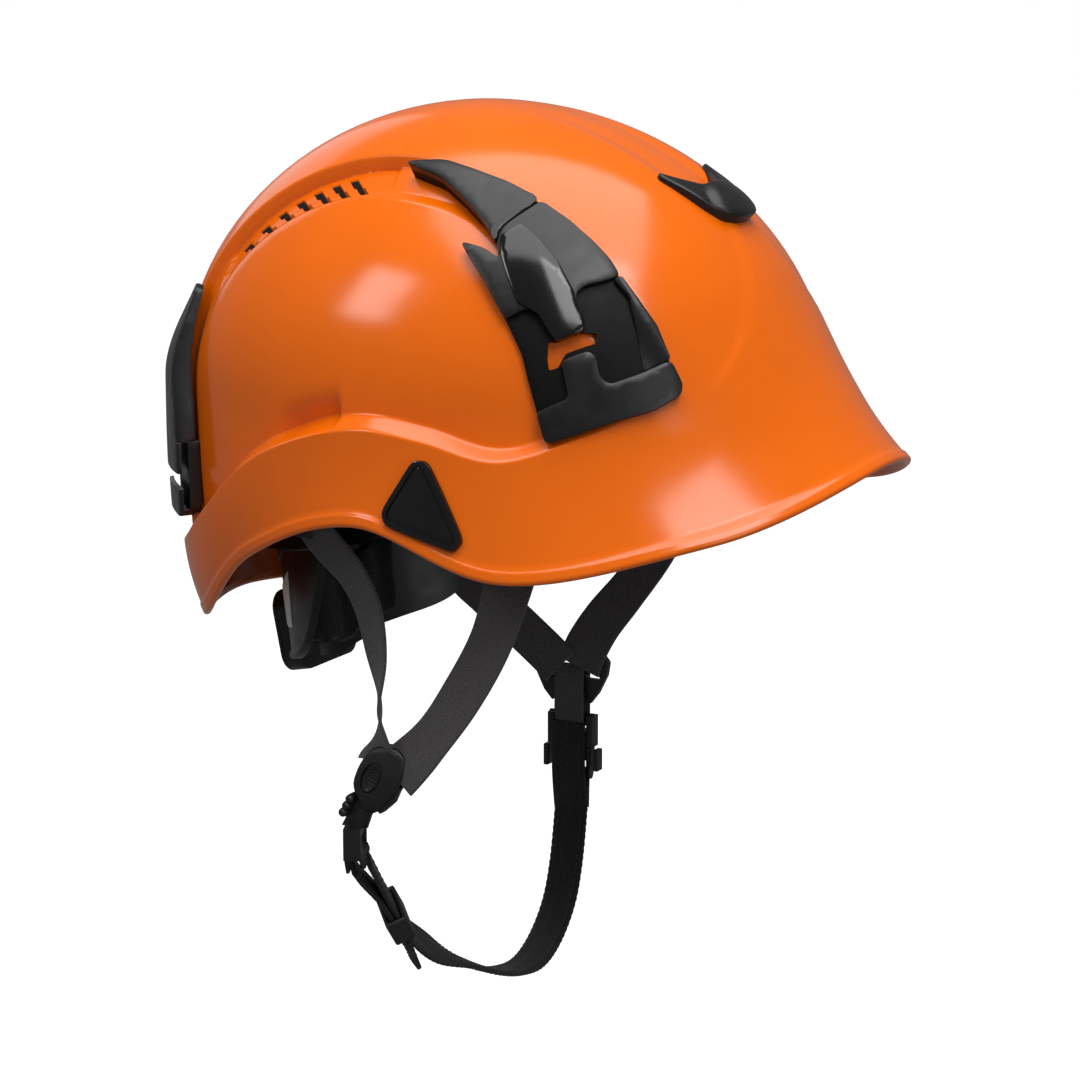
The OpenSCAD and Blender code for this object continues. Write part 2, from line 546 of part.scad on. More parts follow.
module strap_tail() color(chin_black) strip(tail_stops, chin_w, 2.2, 24);
// Frame of the keeper: X along the strap, Y across it, Z through it
module at_keeper() {
  z = unit(twist - run * (run * twist) / (run * run));
  y = cross(z, unit(run));
  c = keeper_at + 1.35 * twist;
  multmatrix([for (k = [0:2]) [unit(run)[k], y[k], z[k], c[k]]]) children();
}
module strap_keeper() color(black) at_keeper() difference() {
  cube([12, chin_w + 4.4, 8.8], center = true);
  cube([14, chin_w + 0.8, 5.8], center = true);
}

outer_shell();
impact_liner();
front_clip();
lamp_clip_front(-1);  // lamp_clip_front_right
lamp_clip_front(1);  // lamp_clip_front_left
lamp_clip_rear(-1);  // lamp_clip_rear_right
lamp_clip_rear(1);  // lamp_clip_rear_left
badge_plug(-1);  // badge_plug_right
badge_plug(1);  // badge_plug_left
cradle_ribbons();
cradle_keys();
crown_pad();
headband();
headband_links();
brow_pad();
nape_pivot_pins();
nape_cradle();
ratchet_housing();
ratchet_cover();
rack_right();
rack_left();
ratchet_pinion();
ratchet_knob();
knob_screw();
nape_pad();
care_label();
strap_anchors_front();
strap_anchors_rear();
front_strap_right();
front_strap_left();
rear_strap_right();
rear_strap_left();
slider_right();
slider_button();
y_plate_left();
loop_strap_left();
buckle_right();
buckle_socket_left();
buckle_plug_left();
buckle_tab_front();
buckle_tab_rear();
chin_strap();
strap_tail();
strap_keeper();
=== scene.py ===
import math

import bmesh
import bpy
import numpy as np
from mathutils import Matrix, Vector, geometry


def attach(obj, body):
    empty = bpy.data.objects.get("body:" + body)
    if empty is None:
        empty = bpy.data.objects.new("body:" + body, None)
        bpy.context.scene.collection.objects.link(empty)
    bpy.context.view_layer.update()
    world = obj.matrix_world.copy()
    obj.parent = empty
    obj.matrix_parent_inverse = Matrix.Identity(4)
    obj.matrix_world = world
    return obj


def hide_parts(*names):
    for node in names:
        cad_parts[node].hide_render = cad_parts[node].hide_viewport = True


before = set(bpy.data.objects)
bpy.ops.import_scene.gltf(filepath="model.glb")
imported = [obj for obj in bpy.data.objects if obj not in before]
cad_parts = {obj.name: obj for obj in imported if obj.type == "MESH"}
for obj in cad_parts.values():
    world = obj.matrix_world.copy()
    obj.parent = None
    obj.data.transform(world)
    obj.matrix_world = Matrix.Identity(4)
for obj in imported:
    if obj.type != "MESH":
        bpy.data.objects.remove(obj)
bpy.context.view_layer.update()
MM = 0.001

# ---- shell surface, in mm ----
# azimuth a runs from the front towards +X, fall b from the crown (0) to the skirt (90)
HALF_W = 102.0
FRONT = 138.0
REAR = 128.0
CROWN_Z = 130.0
SKIRT_Z = 20.0
PLAN_POWER = 2.1
CROWN_POWER = 1.05
WALL = 2.6
RIM_HEIGHTS = [1, -20, -36, -20, -39, -75, -77]
LEDGE_HEIGHTS = [34, 34, 30, 16, 6, 12, 15, 9, -4, -26, -44, -50, -52]
LEDGE_RISE = 5.0


def ease(v):
    c = np.clip(v, 0.0, 1.0)
    return c * c * (3 - 2 * c)


def fold(a):
    m = np.mod(a, 360.0)
    return np.where(m > 180, 360 - m, m)


def hermite(p, q, r, s, k):
    square = (2 * p - 5 * q + 4 * r - s) * k * k
    cube = (3 * q - p - 3 * r + s) * k ** 3
    return 0.5 * (2 * q + (r - p) * k + square + cube)


def through_knots(values, u):
    values = np.asarray(values, float)
    last = len(values) - 1
    i = np.floor(u).astype(int)

    def at(j):
        j = np.abs(j)
        return values[np.where(j > last, 2 * last - j, j)]

    return hermite(at(i - 1), at(i), at(i + 1), at(i + 2), u - i)


def rim_z(a):
    return through_knots(RIM_HEIGHTS, fold(a) / 30)


def ledge_z(a):
    return through_knots(LEDGE_HEIGHTS, fold(a) / 15)


def plan_r(a):
    t = np.radians(a)
    reach = np.where(np.cos(t) > 0, FRONT, REAR)
    across = np.abs(np.sin(t) / HALF_W) ** PLAN_POWER
    along = np.abs(np.cos(t) / reach) ** PLAN_POWER
    return (across + along) ** (-1 / PLAN_POWER)


def flare(a, z):
    front = np.exp(-1.2 * (fold(a) / 65) ** 2)
    rear = ease((fold(a) - 100) / 60)
    side = np.clip(1 - front - rear, 0, 1)
    top = 65 * front + 10 * side
    k = np.clip((top - z) / np.maximum(5, top - rim_z(a)), 0, 1)
    return (33 * front + 5 * side - 6 * rear) * k * k


def fall_z(b):
    dome = SKIRT_Z + (CROWN_Z - SKIRT_Z) * np.cos(np.radians(np.minimum(b, 90))) ** CROWN_POWER
    return np.where(b < 90, dome, SKIRT_Z - (b - 90))


def fall_at(z):
    share = np.clip((z - SKIRT_Z) / (CROWN_Z - SKIRT_Z), 0, 1)
    return np.where(z > SKIRT_Z, np.degrees(np.arccos(share ** (1 / CROWN_POWER))), 90 + SKIRT_Z - z)


def surf(a, b):
    z = fall_z(b)
    r = np.sin(np.radians(np.minimum(b, 90))) * (plan_r(a) + flare(a, z))
    t = np.radians(a)
    return np.stack(np.broadcast_arrays(r * np.sin(t), -r * np.cos(t), z), axis=-1)


def surf_normal(a, b):
    c = np.maximum(b, 2.0)
    n = np.cross(surf(a, c + 0.5) - surf(a, c - 0.5), surf(a + 0.5, c) - surf(a - 0.5, c))
    return n / np.linalg.norm(n, axis=-1, keepdims=True)


def surf_out(a, b, height):
    return surf(a, b) + np.asarray(height)[..., None] * surf_normal(a, b)


# ---- making pieces ----
def mesh_object(name, points, faces):
    """A mesh object from points in mm."""
    mesh = bpy.data.meshes.new(name)
    places = [tuple(float(c) * MM for c in p) for p in points]
    mesh.from_pydata(places, [], [tuple(int(i) for i in f) for f in faces])
    obj = bpy.data.objects.new(name, mesh)
    bpy.context.scene.collection.objects.link(obj)
    return obj


def face_outwards(mesh):
    shape = bmesh.new()
    shape.from_mesh(mesh)
    bmesh.ops.recalc_face_normals(shape, faces=shape.faces[:])
    shape.to_mesh(mesh)
    shape.free()


def new_piece(name, points, faces, body, paint, stands_for=(), sharp=None, uvs=None):
    """A dressed piece from points in mm. uvs holds one (u, v) in mm for each point."""
    obj = mesh_object(name, points, faces)
    if uvs is not None:
        layer = obj.data.uv_layers.new(name="UVMap")
        for loop in obj.data.loops:
            layer.data[loop.index].uv = uvs[loop.vertex_index]
    return dress(obj, body, paint, stands_for, sharp)


def dress(obj, body, paint, stands_for=(), sharp=None):
    mesh = obj.data
    face_outwards(mesh)
    mesh.materials.clear()
    mesh.materials.append(paint)
    for face in mesh.polygons:
        face.material_index = 0
        face.use_smooth = True
    if sharp:
        mesh.set_sharp_from_angle(angle=math.radians(sharp))
    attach(obj, body)
    if stands_for:
        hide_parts(*stands_for)
    return obj


def apply_modifiers(obj):
    """Bakes an object's modifiers into its mesh."""
    graph = bpy.context.evaluated_depsgraph_get()
    baked = bpy.data.meshes.new_from_object(obj.evaluated_get(graph))
    obj.modifiers.clear()
    old = obj.data
    obj.data = baked
    bpy.data.meshes.remove(old)
    return obj


def boolean(obj, cutter, operation="DIFFERENCE"):
    """Cuts or joins a closed object with another, which is removed."""
    tool = obj.modifiers.new("boolean", "BOOLEAN")
    tool.operation = operation
    tool.solver = "MANIFOLD"
    tool.object = cutter
    apply_modifiers(obj)
    bpy.data.objects.remove(cutter)
    return obj


def loose(name, points, faces):
    """A closed mesh object with no body yet, for cutting or joining."""
    obj = mesh_object(name, points, faces)
    face_outwards(obj.data)
    return obj


def join(objects, name):
    """Joins meshes into the first, which takes the name."""
    points = []
    faces = []
    for obj in objects:
        start = len(points)
        points += [tuple(v.co / MM) for v in obj.data.vertices]
        faces += [tuple(start + i for i in f.vertices) for f in obj.data.polygons]
        bpy.data.objects.remove(obj)
    return loose(name, points, faces)


def ring_faces(rows, cols):
    """Quads over a grid of rings, each ring closed on itself."""
    faces = []
    for j in range(rows - 1):
        k = j + 1
        for i in range(cols):
            n = (i + 1) % cols
            faces.append((j * cols + i, j * cols + n, k * cols + n, k * cols + i))
    return faces


def tube_faces(rows, cols, base=0):
    """Faces of a stack of rings closed at both ends, whose points start at base."""
    faces = ring_faces(rows, cols)
    faces.append(tuple(range(cols - 1, -1, -1)))
    faces.append(tuple((rows - 1) * cols + i for i in range(cols)))
    return [tuple(base + i for i in f) for f in faces]


def bowl(rings, top_out, top_in):
    """Points and faces of a bowl: rings down its outside and up its inside, closed at both crowns."""
    cols = len(rings[0])
    points = np.concatenate(rings)
    count = len(points)
    faces = ring_faces(len(rings), cols)
    last = (len(rings) - 1) * cols
    for i in range(cols):
        k = (i + 1) % cols
        faces.append((count, k, i))
        faces.append((count + 1, last + i, last + k))
    return list(points) + [(0, 0, top_out), (0, 0, top_in)], faces


# ---- materials ----
def set_inputs(node, **values):
    """Sets a node's inputs; an underscore stands for a space in an input's name."""
    for key, value in values.items():
        node.inputs[key.replace("_", " ")].default_value = value


def new_node(tree, kind, **values):
    node = tree.nodes.new("ShaderNode" + kind)
    set_inputs(node, **values)
    return node


def new_material(name, **values):
    """A material, its node tree and its Principled node."""
    mat = bpy.data.materials.new(name)
    mat.use_nodes = True
    bsdf = mat.node_tree.nodes["Principled BSDF"]
    set_inputs(bsdf, **values)
    return mat, mat.node_tree, bsdf


def scaled(tree, value, factor, added=None):
    """value times factor, plus added where it is given."""
    node = new_node(tree, "Math")
    node.operation = "MULTIPLY_ADD" if added else "MULTIPLY"
    node.inputs[1].default_value = factor
    tree.links.new(value, node.inputs[0])
    if added:
        tree.links.new(added, node.inputs[2])
    return node.outputs["Value"]


def paint(name, color, rough, swing=0.04, mottle=0.12, mottle_scale=60, grain=900, grain_depth=0.00004,
          specular=0.5, sheen=0.0, metallic=0.0):
    """Moulded or painted surface: mottled colour, uneven roughness and a fine grain."""
    mat, tree, bsdf = new_material(name, Metallic=metallic, Specular_IOR_Level=specular, Sheen_Weight=sheen)
    place = new_node(tree, "TexCoord")
    blotch = new_node(tree, "TexNoise", Scale=mottle_scale, Detail=4)
    ramp = new_node(tree, "ValToRGB")
    stops = ramp.color_ramp.elements
    for stop, share, at in ((stops[0], 1 - mottle, 0.3), (stops[1], 1 + mottle, 0.7)):
        stop.color = [min(1.0, c * share) for c in color] + [1]
        stop.position = at
    wear = new_node(tree, "TexNoise", Scale=mottle_scale * 2.3)
    uneven = new_node(tree, "MapRange", From_Min=0.3, From_Max=0.7, To_Min=rough - swing,
                      To_Max=rough + swing)
    fine = new_node(tree, "TexNoise", Scale=grain, Detail=3)
    bump = new_node(tree, "Bump", Strength=1.0, Distance=grain_depth)
    for node in (blotch, wear, fine):
        tree.links.new(place.outputs["Object"], node.inputs["Vector"])
    tree.links.new(blotch.outputs["Fac"], ramp.inputs["Fac"])
    tree.links.new(ramp.outputs["Color"], bsdf.inputs["Base Color"])
    tree.links.new(wear.outputs["Fac"], uneven.inputs["Value"])
    tree.links.new(uneven.outputs["Result"], bsdf.inputs["Roughness"])
    tree.links.new(fine.outputs["Fac"], bump.inputs["Height"])
    tree.links.new(bump.outputs["Normal"], bsdf.inputs["Normal"])
    return mat


def woven(name, color, pitch, angle, depth, contrast=0.35, cross=0.6, rough=0.75, sheen=0.3):
    """Webbing: diagonal ribs crossed by the yarns, laid out along each strap by its UV in mm."""
    mat, tree, bsdf = new_material(name, Roughness=rough, Sheen_Weight=sheen, Sheen_Roughness=0.5,
                                   Specular_IOR_Level=0.35)
    place = new_node(tree, "UVMap")
    place.uv_map = "UVMap"
    ribs = []
    for turn, size in ((angle, pitch), (-angle * 0.4, pitch * cross)):
        aim = new_node(tree, "Mapping", Rotation=(0, 0, math.radians(turn)))
        wave = new_node(tree, "TexWave", Scale=0.314 / size, Distortion=0.3, Detail=1)
        wave.wave_type = "BANDS"
        wave.bands_direction = "Y"
        tree.links.new(place.outputs["UV"], aim.inputs["Vector"])
        tree.links.new(aim.outputs["Vector"], wave.inputs["Vector"])
        ribs.append(wave.outputs["Fac"])
    weave = scaled(tree, ribs[0], 0.6, ribs[1])
    fuzz = new_node(tree, "TexNoise", Scale=1.4, Detail=5)
    tree.links.new(place.outputs["UV"], fuzz.inputs["Vector"])
    total = scaled(tree, fuzz.outputs["Fac"], 0.8, weave)
    ramp = new_node(tree, "ValToRGB")
    stops = ramp.color_ramp.elements
    stops[0].position = 0.3
    stops[1].position = 0.95
    stops[0].color = [c * (1 - contrast) for c in color] + [1]
    stops[1].color = [min(1, c * (1 + contrast)) for c in color] + [1]
    tree.links.new(scaled(tree, total, 0.55), ramp.inputs["Fac"])
    tree.links.new(ramp.outputs["Color"], bsdf.inputs["Base Color"])
    bump = new_node(tree, "Bump", Distance=depth)
    tree.links.new(total, bump.inputs["Height"])
    tree.links.new(bump.outputs["Normal"], bsdf.inputs["Normal"])
    return mat


def knitted(name, color, cell, depth):
    """Spacer mesh: small round holes in a soft fabric, each hole darkened with painted shade."""
    mat = paint(name, color, 0.85, mottle=0.2, sheen=0.12, specular=0.2)
    tree = mat.node_tree
    bsdf = tree.nodes["Principled BSDF"]
    place = new_node(tree, "TexCoord")
    holes = new_node(tree, "TexVoronoi", Scale=1 / cell, Randomness=0.15)
    bump = new_node(tree, "Bump", Distance=depth)
    bump.invert = True
    # painted shade: colour darkened towards the middle of each hole and a little lighter between the holes
    painted_hole_shade = new_node(tree, "MapRange", From_Max=0.5, To_Min=0.35, To_Max=1.2)
    shade = new_node(tree, "Mix")
    shade.data_type = "RGBA"
    shade.blend_type = "MULTIPLY"
    shade.inputs["Factor"].default_value = 1
    tree.links.new(place.outputs["Object"], holes.inputs["Vector"])
    tree.links.new(holes.outputs["Distance"], bump.inputs["Height"])
    tree.links.new(holes.outputs["Distance"], painted_hole_shade.inputs["Value"])
    ramp = next(n for n in tree.nodes if n.type == "VALTORGB")
    tree.links.new(ramp.outputs["Color"], shade.inputs[6])
    tree.links.new(painted_hole_shade.outputs["Result"], shade.inputs[7])
    tree.links.new(shade.outputs[2], bsdf.inputs["Base Color"])
    tree.links.new(bump.outputs["Normal"], bsdf.inputs["Normal"])
    return mat


ORANGE = paint("orange_abs", (0.83, 0.14, 0.001), 0.17, swing=0.02, mottle=0.03, mottle_scale=25,
               grain=1400, grain_depth=0.000005)
SATIN_BLACK = paint("satin_black", (0.009, 0.009, 0.010), 0.33, swing=0.05, mottle=0.3, grain=2500,
                    grain_depth=0.00002, specular=0.4)
GLOSS_BLACK = paint("gloss_black", (0.004, 0.004, 0.005), 0.12, swing=0.02, mottle=0.3, grain=900,
                    grain_depth=0.000006)
FRAME_BLACK = paint("frame_black", (0.007, 0.007, 0.008), 0.36, swing=0.05, mottle=0.3, grain=2200,
                    grain_depth=0.00003, specular=0.35)
# painted shade: the front clip's base shows only in its pockets, so it gets a darker, duller black than the
# clip's raised plates
POCKET_SHADE_BLACK = paint("pocket_shade_black", (0.003, 0.003, 0.003), 0.5, swing=0.05, mottle=0.3, grain=2500,
                     grain_depth=0.00003, specular=0.15)
BUCKLE_BLACK = paint("buckle_black", (0.009, 0.009, 0.010), 0.42, swing=0.05, mottle=0.3, grain=3000,
                     grain_depth=0.00006, specular=0.45)
FOAM_BLACK = paint("foam_black", (0.006, 0.006, 0.006), 0.9, mottle=0.4, mottle_scale=300, grain=700,
                   grain_depth=0.0003, specular=0.2)
RUBBER = paint("keeper_rubber", (0.009, 0.009, 0.009), 0.5, mottle=0.3, grain=2600, grain_depth=0.00005)
STEEL = paint("screw_steel", (0.55, 0.55, 0.57), 0.3, metallic=1.0, grain=1500)
LABEL = paint("label_white", (0.8, 0.8, 0.79), 0.5, mottle=0.03, grain=1500, grain_depth=0.00002)
THREAD = paint("black_thread", (0.012, 0.012, 0.013), 0.5, mottle=0.4, mottle_scale=900, grain=5000,
               grain_depth=0.0001, sheen=0.1)
WEBBING = woven("grey_webbing", (0.055, 0.048, 0.053), 1.1, 35, 0.00022)
CHIN_WEBBING = woven("chin_webbing", (0.007, 0.007, 0.008), 0.9, 4, 0.00014, rough=0.5, sheen=0.06)
PAD_MESH = knitted("pad_mesh", (0.008, 0.008, 0.009), 0.0022, 0.0004)

# ---- outer shell ----
COLUMNS = 480
GROOVE = 4.2
EAR = 2.4
LEDGE_STEP = 4.0
# vent slots on each side: count, first place, spacing, half width, inner and outer end
SLOTS = 7
SLOT_FIRST = 75
SLOT_PITCH = 8.2
SLOT_HALF = 1.9
SLOT_IN = 54.6
SLOT_OUT = 64.6


def hood_half(y):
    return 54 + 10 * ease((30 - y) / 125)


def hood_slope(y):
    return (hood_half(y + 0.5) - hood_half(y - 0.5))


class Shell:
    """Grid of the shell: for each column of azimuth, falls and heights above the plain surface."""

    def __init__(self):
        self.a = np.arange(COLUMNS) * 360.0 / COLUMNS
        a = self.a[None, :]
        table = np.linspace(0, 1, 700)[:, None] * fall_at(rim_z(self.a))[None, :]
        p = surf(a, table)
        steps = np.linalg.norm(np.diff(p, axis=0), axis=2)
        arc = np.vstack([np.zeros(COLUMNS), np.cumsum(steps, axis=0)])
        self.table = table
        self.arc = arc
        outside = np.abs(p[:, :, 0]) > hood_half(p[:, :, 1])
        self.top = self.arc_at(fall_at(ledge_z(self.a) + LEDGE_RISE))
        self.foot = self.arc_at(fall_at(ledge_z(self.a)))
        self.rim = arc[-1]
        first = np.argmax(outside, axis=0)
        hood = arc[first, np.arange(COLUMNS)]
        self.hood = np.where(outside.any(axis=0), np.minimum(hood, self.top + 30), self.top + 30)
        k4 = self.top - 1.2
        k3 = np.minimum(self.hood + 23, k4 - 4)
        k2 = np.minimum(self.hood + 3, k3 - 3)
        k1 = np.minimum(self.hood - 3, k2 - 2)
        stops = [0 * k1, k1, k2, k3, k4, self.foot + 1.2, self.rim - 4, self.rim]
        counts = [34, 11, 30, 24, 10, 16, 6]
        rows = []
        for low, high, n in zip(stops[:-1], stops[1:], counts):
            first_row = 1 if low is stops[0] else 0
            rows += [low + (high - low) * (j / n) for j in range(first_row, n)]
        rows.append(self.rim)
        self.s = np.array(rows)
        self.b = np.array([np.interp(self.s[:, i], arc[:, i], table[:, i]) for i in range(COLUMNS)]).T
        self.height = self.relief(np.broadcast_to(a, self.b.shape), self.b, self.s)

    def arc_at(self, b):
        return np.array([np.interp(b[i], self.table[:, i], self.arc[:, i]) for i in range(COLUMNS)])

    def relief(self, a, b, s):
        p = surf(a, b)
        n = surf_normal(a, b)
        side = np.sign(p[..., 0])
        x = np.abs(p[..., 0])
        y = p[..., 1]
        z = p[..., 2]
        slope = -hood_slope(y)
        tangent = np.stack([side, slope, 0 * side], axis=-1)
        tangent = tangent - np.sum(tangent * n, axis=-1, keepdims=True) * n
        d = (x - hood_half(y)) / np.maximum(0.3, np.linalg.norm(tangent, axis=-1))
        recess = ease((fold(a) - 29) / 4) * (s < self.foot)
        above = -GROOVE * ease((d + 1.4) / 3.6) + (GROOVE - EAR) * ease((d - 15) / 7)
        ear_span = np.clip((s - self.hood - 22) / np.maximum(5, self.top - self.hood - 22), 0, 1)
        above = above + 0.9 * np.sin(np.pi * ear_span)
        vent = ease((d - 1.2) / 0.9) * (1 - ease((d - 11.8) / 0.9))
        vent = vent * ease((90 - y) / 1.6) * ease((y - 10) / 1.6)
        above = recess * (above - 1.2 * vent)
        # valley of the hood and the raised panel below the front hook
        valley = -1.9 * ease(-y / 80) * (1 - ease((x - 9) / 10)) * (y < 0) * ease((z - 96) / 6)
        panel_w = 7 + 0.43 * np.clip(92 - z, 0, 80) + 0.006 * np.clip(92 - z, 0, 80) ** 2
        panel = 0.8 * (1 - ease((x - panel_w + 1) / 2.4)) * (y < 0)
        panel = panel * ease((z - 24) / 30) * (1 - ease((z - 93) / 5))
        above = above + valley + panel
        # scoop above the ledge on each side
        scoop = ease((47 - y) / 14) * ease((y - 10.5) / 2.6) * (x > 60)
        near = 1 - np.clip((self.top - s) / 11, 0, 1)
        above = above - 3.8 * scoop * ease(near)
        step = LEDGE_STEP * ease((fold(a) - 25) / 45)
        rise = np.clip((s - self.top) / (self.foot - self.top), 0, 1)
        down = np.clip((s - self.foot) / (self.rim - self.foot), 0, 1)
        band = step * (1 - down * down) + panel * (s >= self.top)
        height = np.where(s < self.top, above, above * (1 - rise) + band * rise)
        height = np.where(s >= self.foot, band, height)
        return height

    def height_at(self, a, b):
        """Height of the finished surface at any azimuth and fall."""
        a = np.asarray(a, float)
        flat_a = np.mod(a, 360).ravel()
        flat_b = np.broadcast_to(b, a.shape).ravel()
        out = np.empty(len(flat_a))
        for k, (aa, bb) in enumerate(zip(flat_a, flat_b)):
            i = int(round(aa * COLUMNS / 360)) % COLUMNS
            out[k] = np.interp(bb, self.b[:, i], self.height[:, i])
        return out.reshape(a.shape)


shell = Shell()


def build_shell():
    a = shell.a
    outer_h = shell.height + 0.6 * ease((shell.s - shell.rim + 3.8) / 0.9)
    outer = [surf_out(a, shell.b[j], outer_h[j]) for j in range(len(shell.b))]
    rim_b = shell.b[-1]
    base = surf(a, rim_b)
    n = surf_normal(a, rim_b)
    down = surf(a, rim_b + 0.2) - surf(a, rim_b - 0.2)
    down = down / np.linalg.norm(down, axis=1, keepdims=True)
    radius = (WALL + 0.6) / 2
    lip = [base + n * (0.6 - radius + radius * math.cos(t)) + down * radius * math.sin(t)
           for t in np.radians([30, 60, 90, 120, 150])]
    inner = [surf_out(a, shell.b[j], shell.height[j] - WALL) for j in range(len(shell.b) - 1, 0, -3)]
    crown_out = CROWN_Z + float(shell.height[0].mean())
    points, faces = bowl(outer + lip + inner, crown_out, CROWN_Z - WALL)
    obj = loose("shell_moulding", points, faces)
    slots = []
    for side in (-1, 1):
        for i in range(SLOTS):
            y = SLOT_FIRST - SLOT_PITCH * i
            outline = [(SLOT_IN, y + 5 + SLOT_HALF), (SLOT_OUT, y - 6 + SLOT_HALF),
                       (SLOT_OUT, y - 6 - SLOT_HALF), (SLOT_IN, y + 5 - SLOT_HALF)]
            low = [(side * px, py, 40) for px, py in outline]
            high = [(side * px, py, 125) for px, py in outline]
            slots.append(loose("slot", low + high, [(0, 1, 2, 3), (7, 6, 5, 4), (0, 4, 5, 1), (1, 5, 6, 2),
                                                    (2, 6, 7, 3), (3, 7, 4, 0)]))
    boolean(obj, join(slots, "slots"))
    return dress(obj, "helmet", ORANGE, ["outer_shell"], sharp=38)


build_shell()


# ---- plates that follow the shell ----
def spread(outline, step=1.6, corner=1.2):
    """Closed outline with rounded corners and evenly spaced points."""
    points = np.array(outline, float)
    count = len(points)
    path = []
    for i in range(count):
        before = points[i - 1]
        here = points[i]
        after = points[(i + 1) % count]
        to_before = before - here
        to_after = after - here
        cut = min(corner, 0.45 * np.linalg.norm(to_before), 0.45 * np.linalg.norm(to_after))
        start = here + to_before / np.linalg.norm(to_before) * cut
        end = here + to_after / np.linalg.norm(to_after) * cut
        for k in (0, 0.33, 0.67, 1):
            path.append((1 - k) ** 2 * start + 2 * k * (1 - k) * here + k * k * end)
    dense = []
    for i in range(len(path)):
        here = path[i]
        after = path[(i + 1) % len(path)]
        n = max(1, int(round(np.linalg.norm(after - here) / step)))
        dense += [here + (after - here) * k / n for k in range(n)]
    kept = [dense[0]]
    for q in dense[1:]:
        if np.linalg.norm(q - kept[-1]) > 0.15:
            kept.append(q)
    if np.linalg.norm(kept[0] - kept[-1]) < 0.15:
        kept.pop()
    return np.array(kept)


def clearance(points, loop):
    """Distance of each point from a closed outline."""
    start = loop[None, :, :]
    edge = np.roll(loop, -1, axis=0)[None, :, :] - start
    gap = points[:, None, :] - start
    share = np.clip(np.sum(gap * edge, axis=2) / np.maximum(np.sum(edge * edge, axis=2), 1e-9), 0, 1)
    return np.min(np.linalg.norm(gap - share[..., None] * edge, axis=2), axis=1)


def shrink(loop, by):
    """Outline moved inwards by a distance, less where it is too tight for it."""
    area = 0.5 * np.sum(loop[:, 0] * np.roll(loop[:, 1], -1) - np.roll(loop[:, 0], -1) * loop[:, 1])
    along = np.roll(loop, -1, axis=0) - np.roll(loop, 1, axis=0)
    along = along / np.linalg.norm(along, axis=1, keepdims=True)
    inward = np.stack([-along[:, 1], along[:, 0]], axis=1) * (1 if area > 0 else -1)
    share = np.full(len(loop), 0.05)
    for trial in (0.2, 0.4, 0.6, 0.8, 1.0):
        fits = clearance(loop + inward * by * trial, loop) > 0.9 * abs(by) * trial
        share = np.where(fits, trial, share)
    near = [np.roll(share, k) for k in (-2, -1, 0, 1, 2)]
    share = np.min(near, axis=0)
    share = (np.roll(share, 1) + share + np.roll(share, -1)) / 3
    return loop + inward * by * share[:, None]


def plate(name, outline, mapper, top, bottom, bevel=0.6, step=1.6, corner=1.2, grid=2.4):
    """Closed plate over a curved surface; top and bottom are heights or functions of the points."""
    loop = spread(outline, step, corner)
    top_at = top if callable(top) else (lambda q: np.full(len(q), float(top)))
    bottom_at = bottom if callable(bottom) else (lambda q: np.full(len(q), float(bottom)))
    n = len(loop)
    inset = shrink(loop, bevel)
    mid = loop + (inset - loop) * 0.3
    low, high = inset.min(axis=0), inset.max(axis=0)
    columns = np.arange(low[0] + 1, high[0], grid)
    rows = np.arange(low[1] + 1, high[1], grid)
    cand = np.array([(u, v) for u in columns for v in rows])
    inside = []
    for q in cand:
        if is_inside(q, inset) and np.min(np.linalg.norm(inset - q, axis=1)) > 0.45 * grid:
            inside.append(q)
    flat = [Vector(q) for q in list(inset) + inside]
    out = geometry.delaunay_2d_cdt(flat, [], [list(range(n))], 1, 1e-6)
    tri_points = np.array([tuple(v) for v in out[0]])
    tris = out[2]
    stand_in = list(range(n))
    for k, sources in enumerate(out[3]):
        for i in sources:
            if i < n:
                stand_in[i] = k
    ring0 = mapper(loop, bottom_at(loop))
    ring1 = mapper(loop, top_at(loop) - bevel)
    ring2 = mapper(mid, top_at(mid) - bevel * 0.3)
    lid = mapper(tri_points, top_at(tri_points))
    base = mapper(tri_points, bottom_at(tri_points))
    points = list(ring0) + list(ring1) + list(ring2) + list(lid) + list(base)
    faces = []
    for i in range(n):
        k = (i + 1) % n
        faces.append((i, k, n + k, n + i))
        faces.append((n + i, n + k, 2 * n + k, 2 * n + i))
        faces.append((2 * n + i, 2 * n + k, 3 * n + stand_in[k], 3 * n + stand_in[i]))
    lid_at = 3 * n
    base_at = lid_at + len(tri_points)
    faces += [tuple(lid_at + i for i in t) for t in tris]
    faces += [tuple(base_at + i for i in reversed(t)) for t in tris]
    for i in range(n):
        k = (i + 1) % n
        faces.append((i, base_at + stand_in[i], base_at + stand_in[k], k))
    return loose(name, points, faces)


def is_inside(q, loop):
    x, y = q
    x0, y0 = loop[:, 0], loop[:, 1]
    x1, y1 = np.roll(x0, -1), np.roll(y0, -1)
    crosses = (y0 > y) != (y1 > y)
    with np.errstate(divide="ignore", invalid="ignore"):
        at = (x1 - x0) * (y - y0) / (y1 - y0) + x0
    return bool(np.sum(crosses & (x < at)) % 2)


def bisect(low, high, f, steps=34):
    """Where a rising function of an array crosses zero."""
    low = np.array(low, float)
    high = np.array(high, float)
    for _ in range(steps):
        mid = (low + high) / 2
        below = f(mid) < 0
        low = np.where(below, mid, low)
        high = np.where(below, high, mid)
    return (low + high) / 2


def side_place(v, u, turn=0.0):
    """Azimuth and fall of a point drawn in the side view, turned about the vertical."""
    b = fall_at(v)
    along = np.array([-math.sin(math.radians(turn)), math.cos(math.radians(turn)), 0])
    centre = 90 + turn
    a = bisect(np.full(len(u), centre - 82.0), np.full(len(u), centre + 82.0),
               lambda t: surf(t, b) @ along - u)
    return a, b


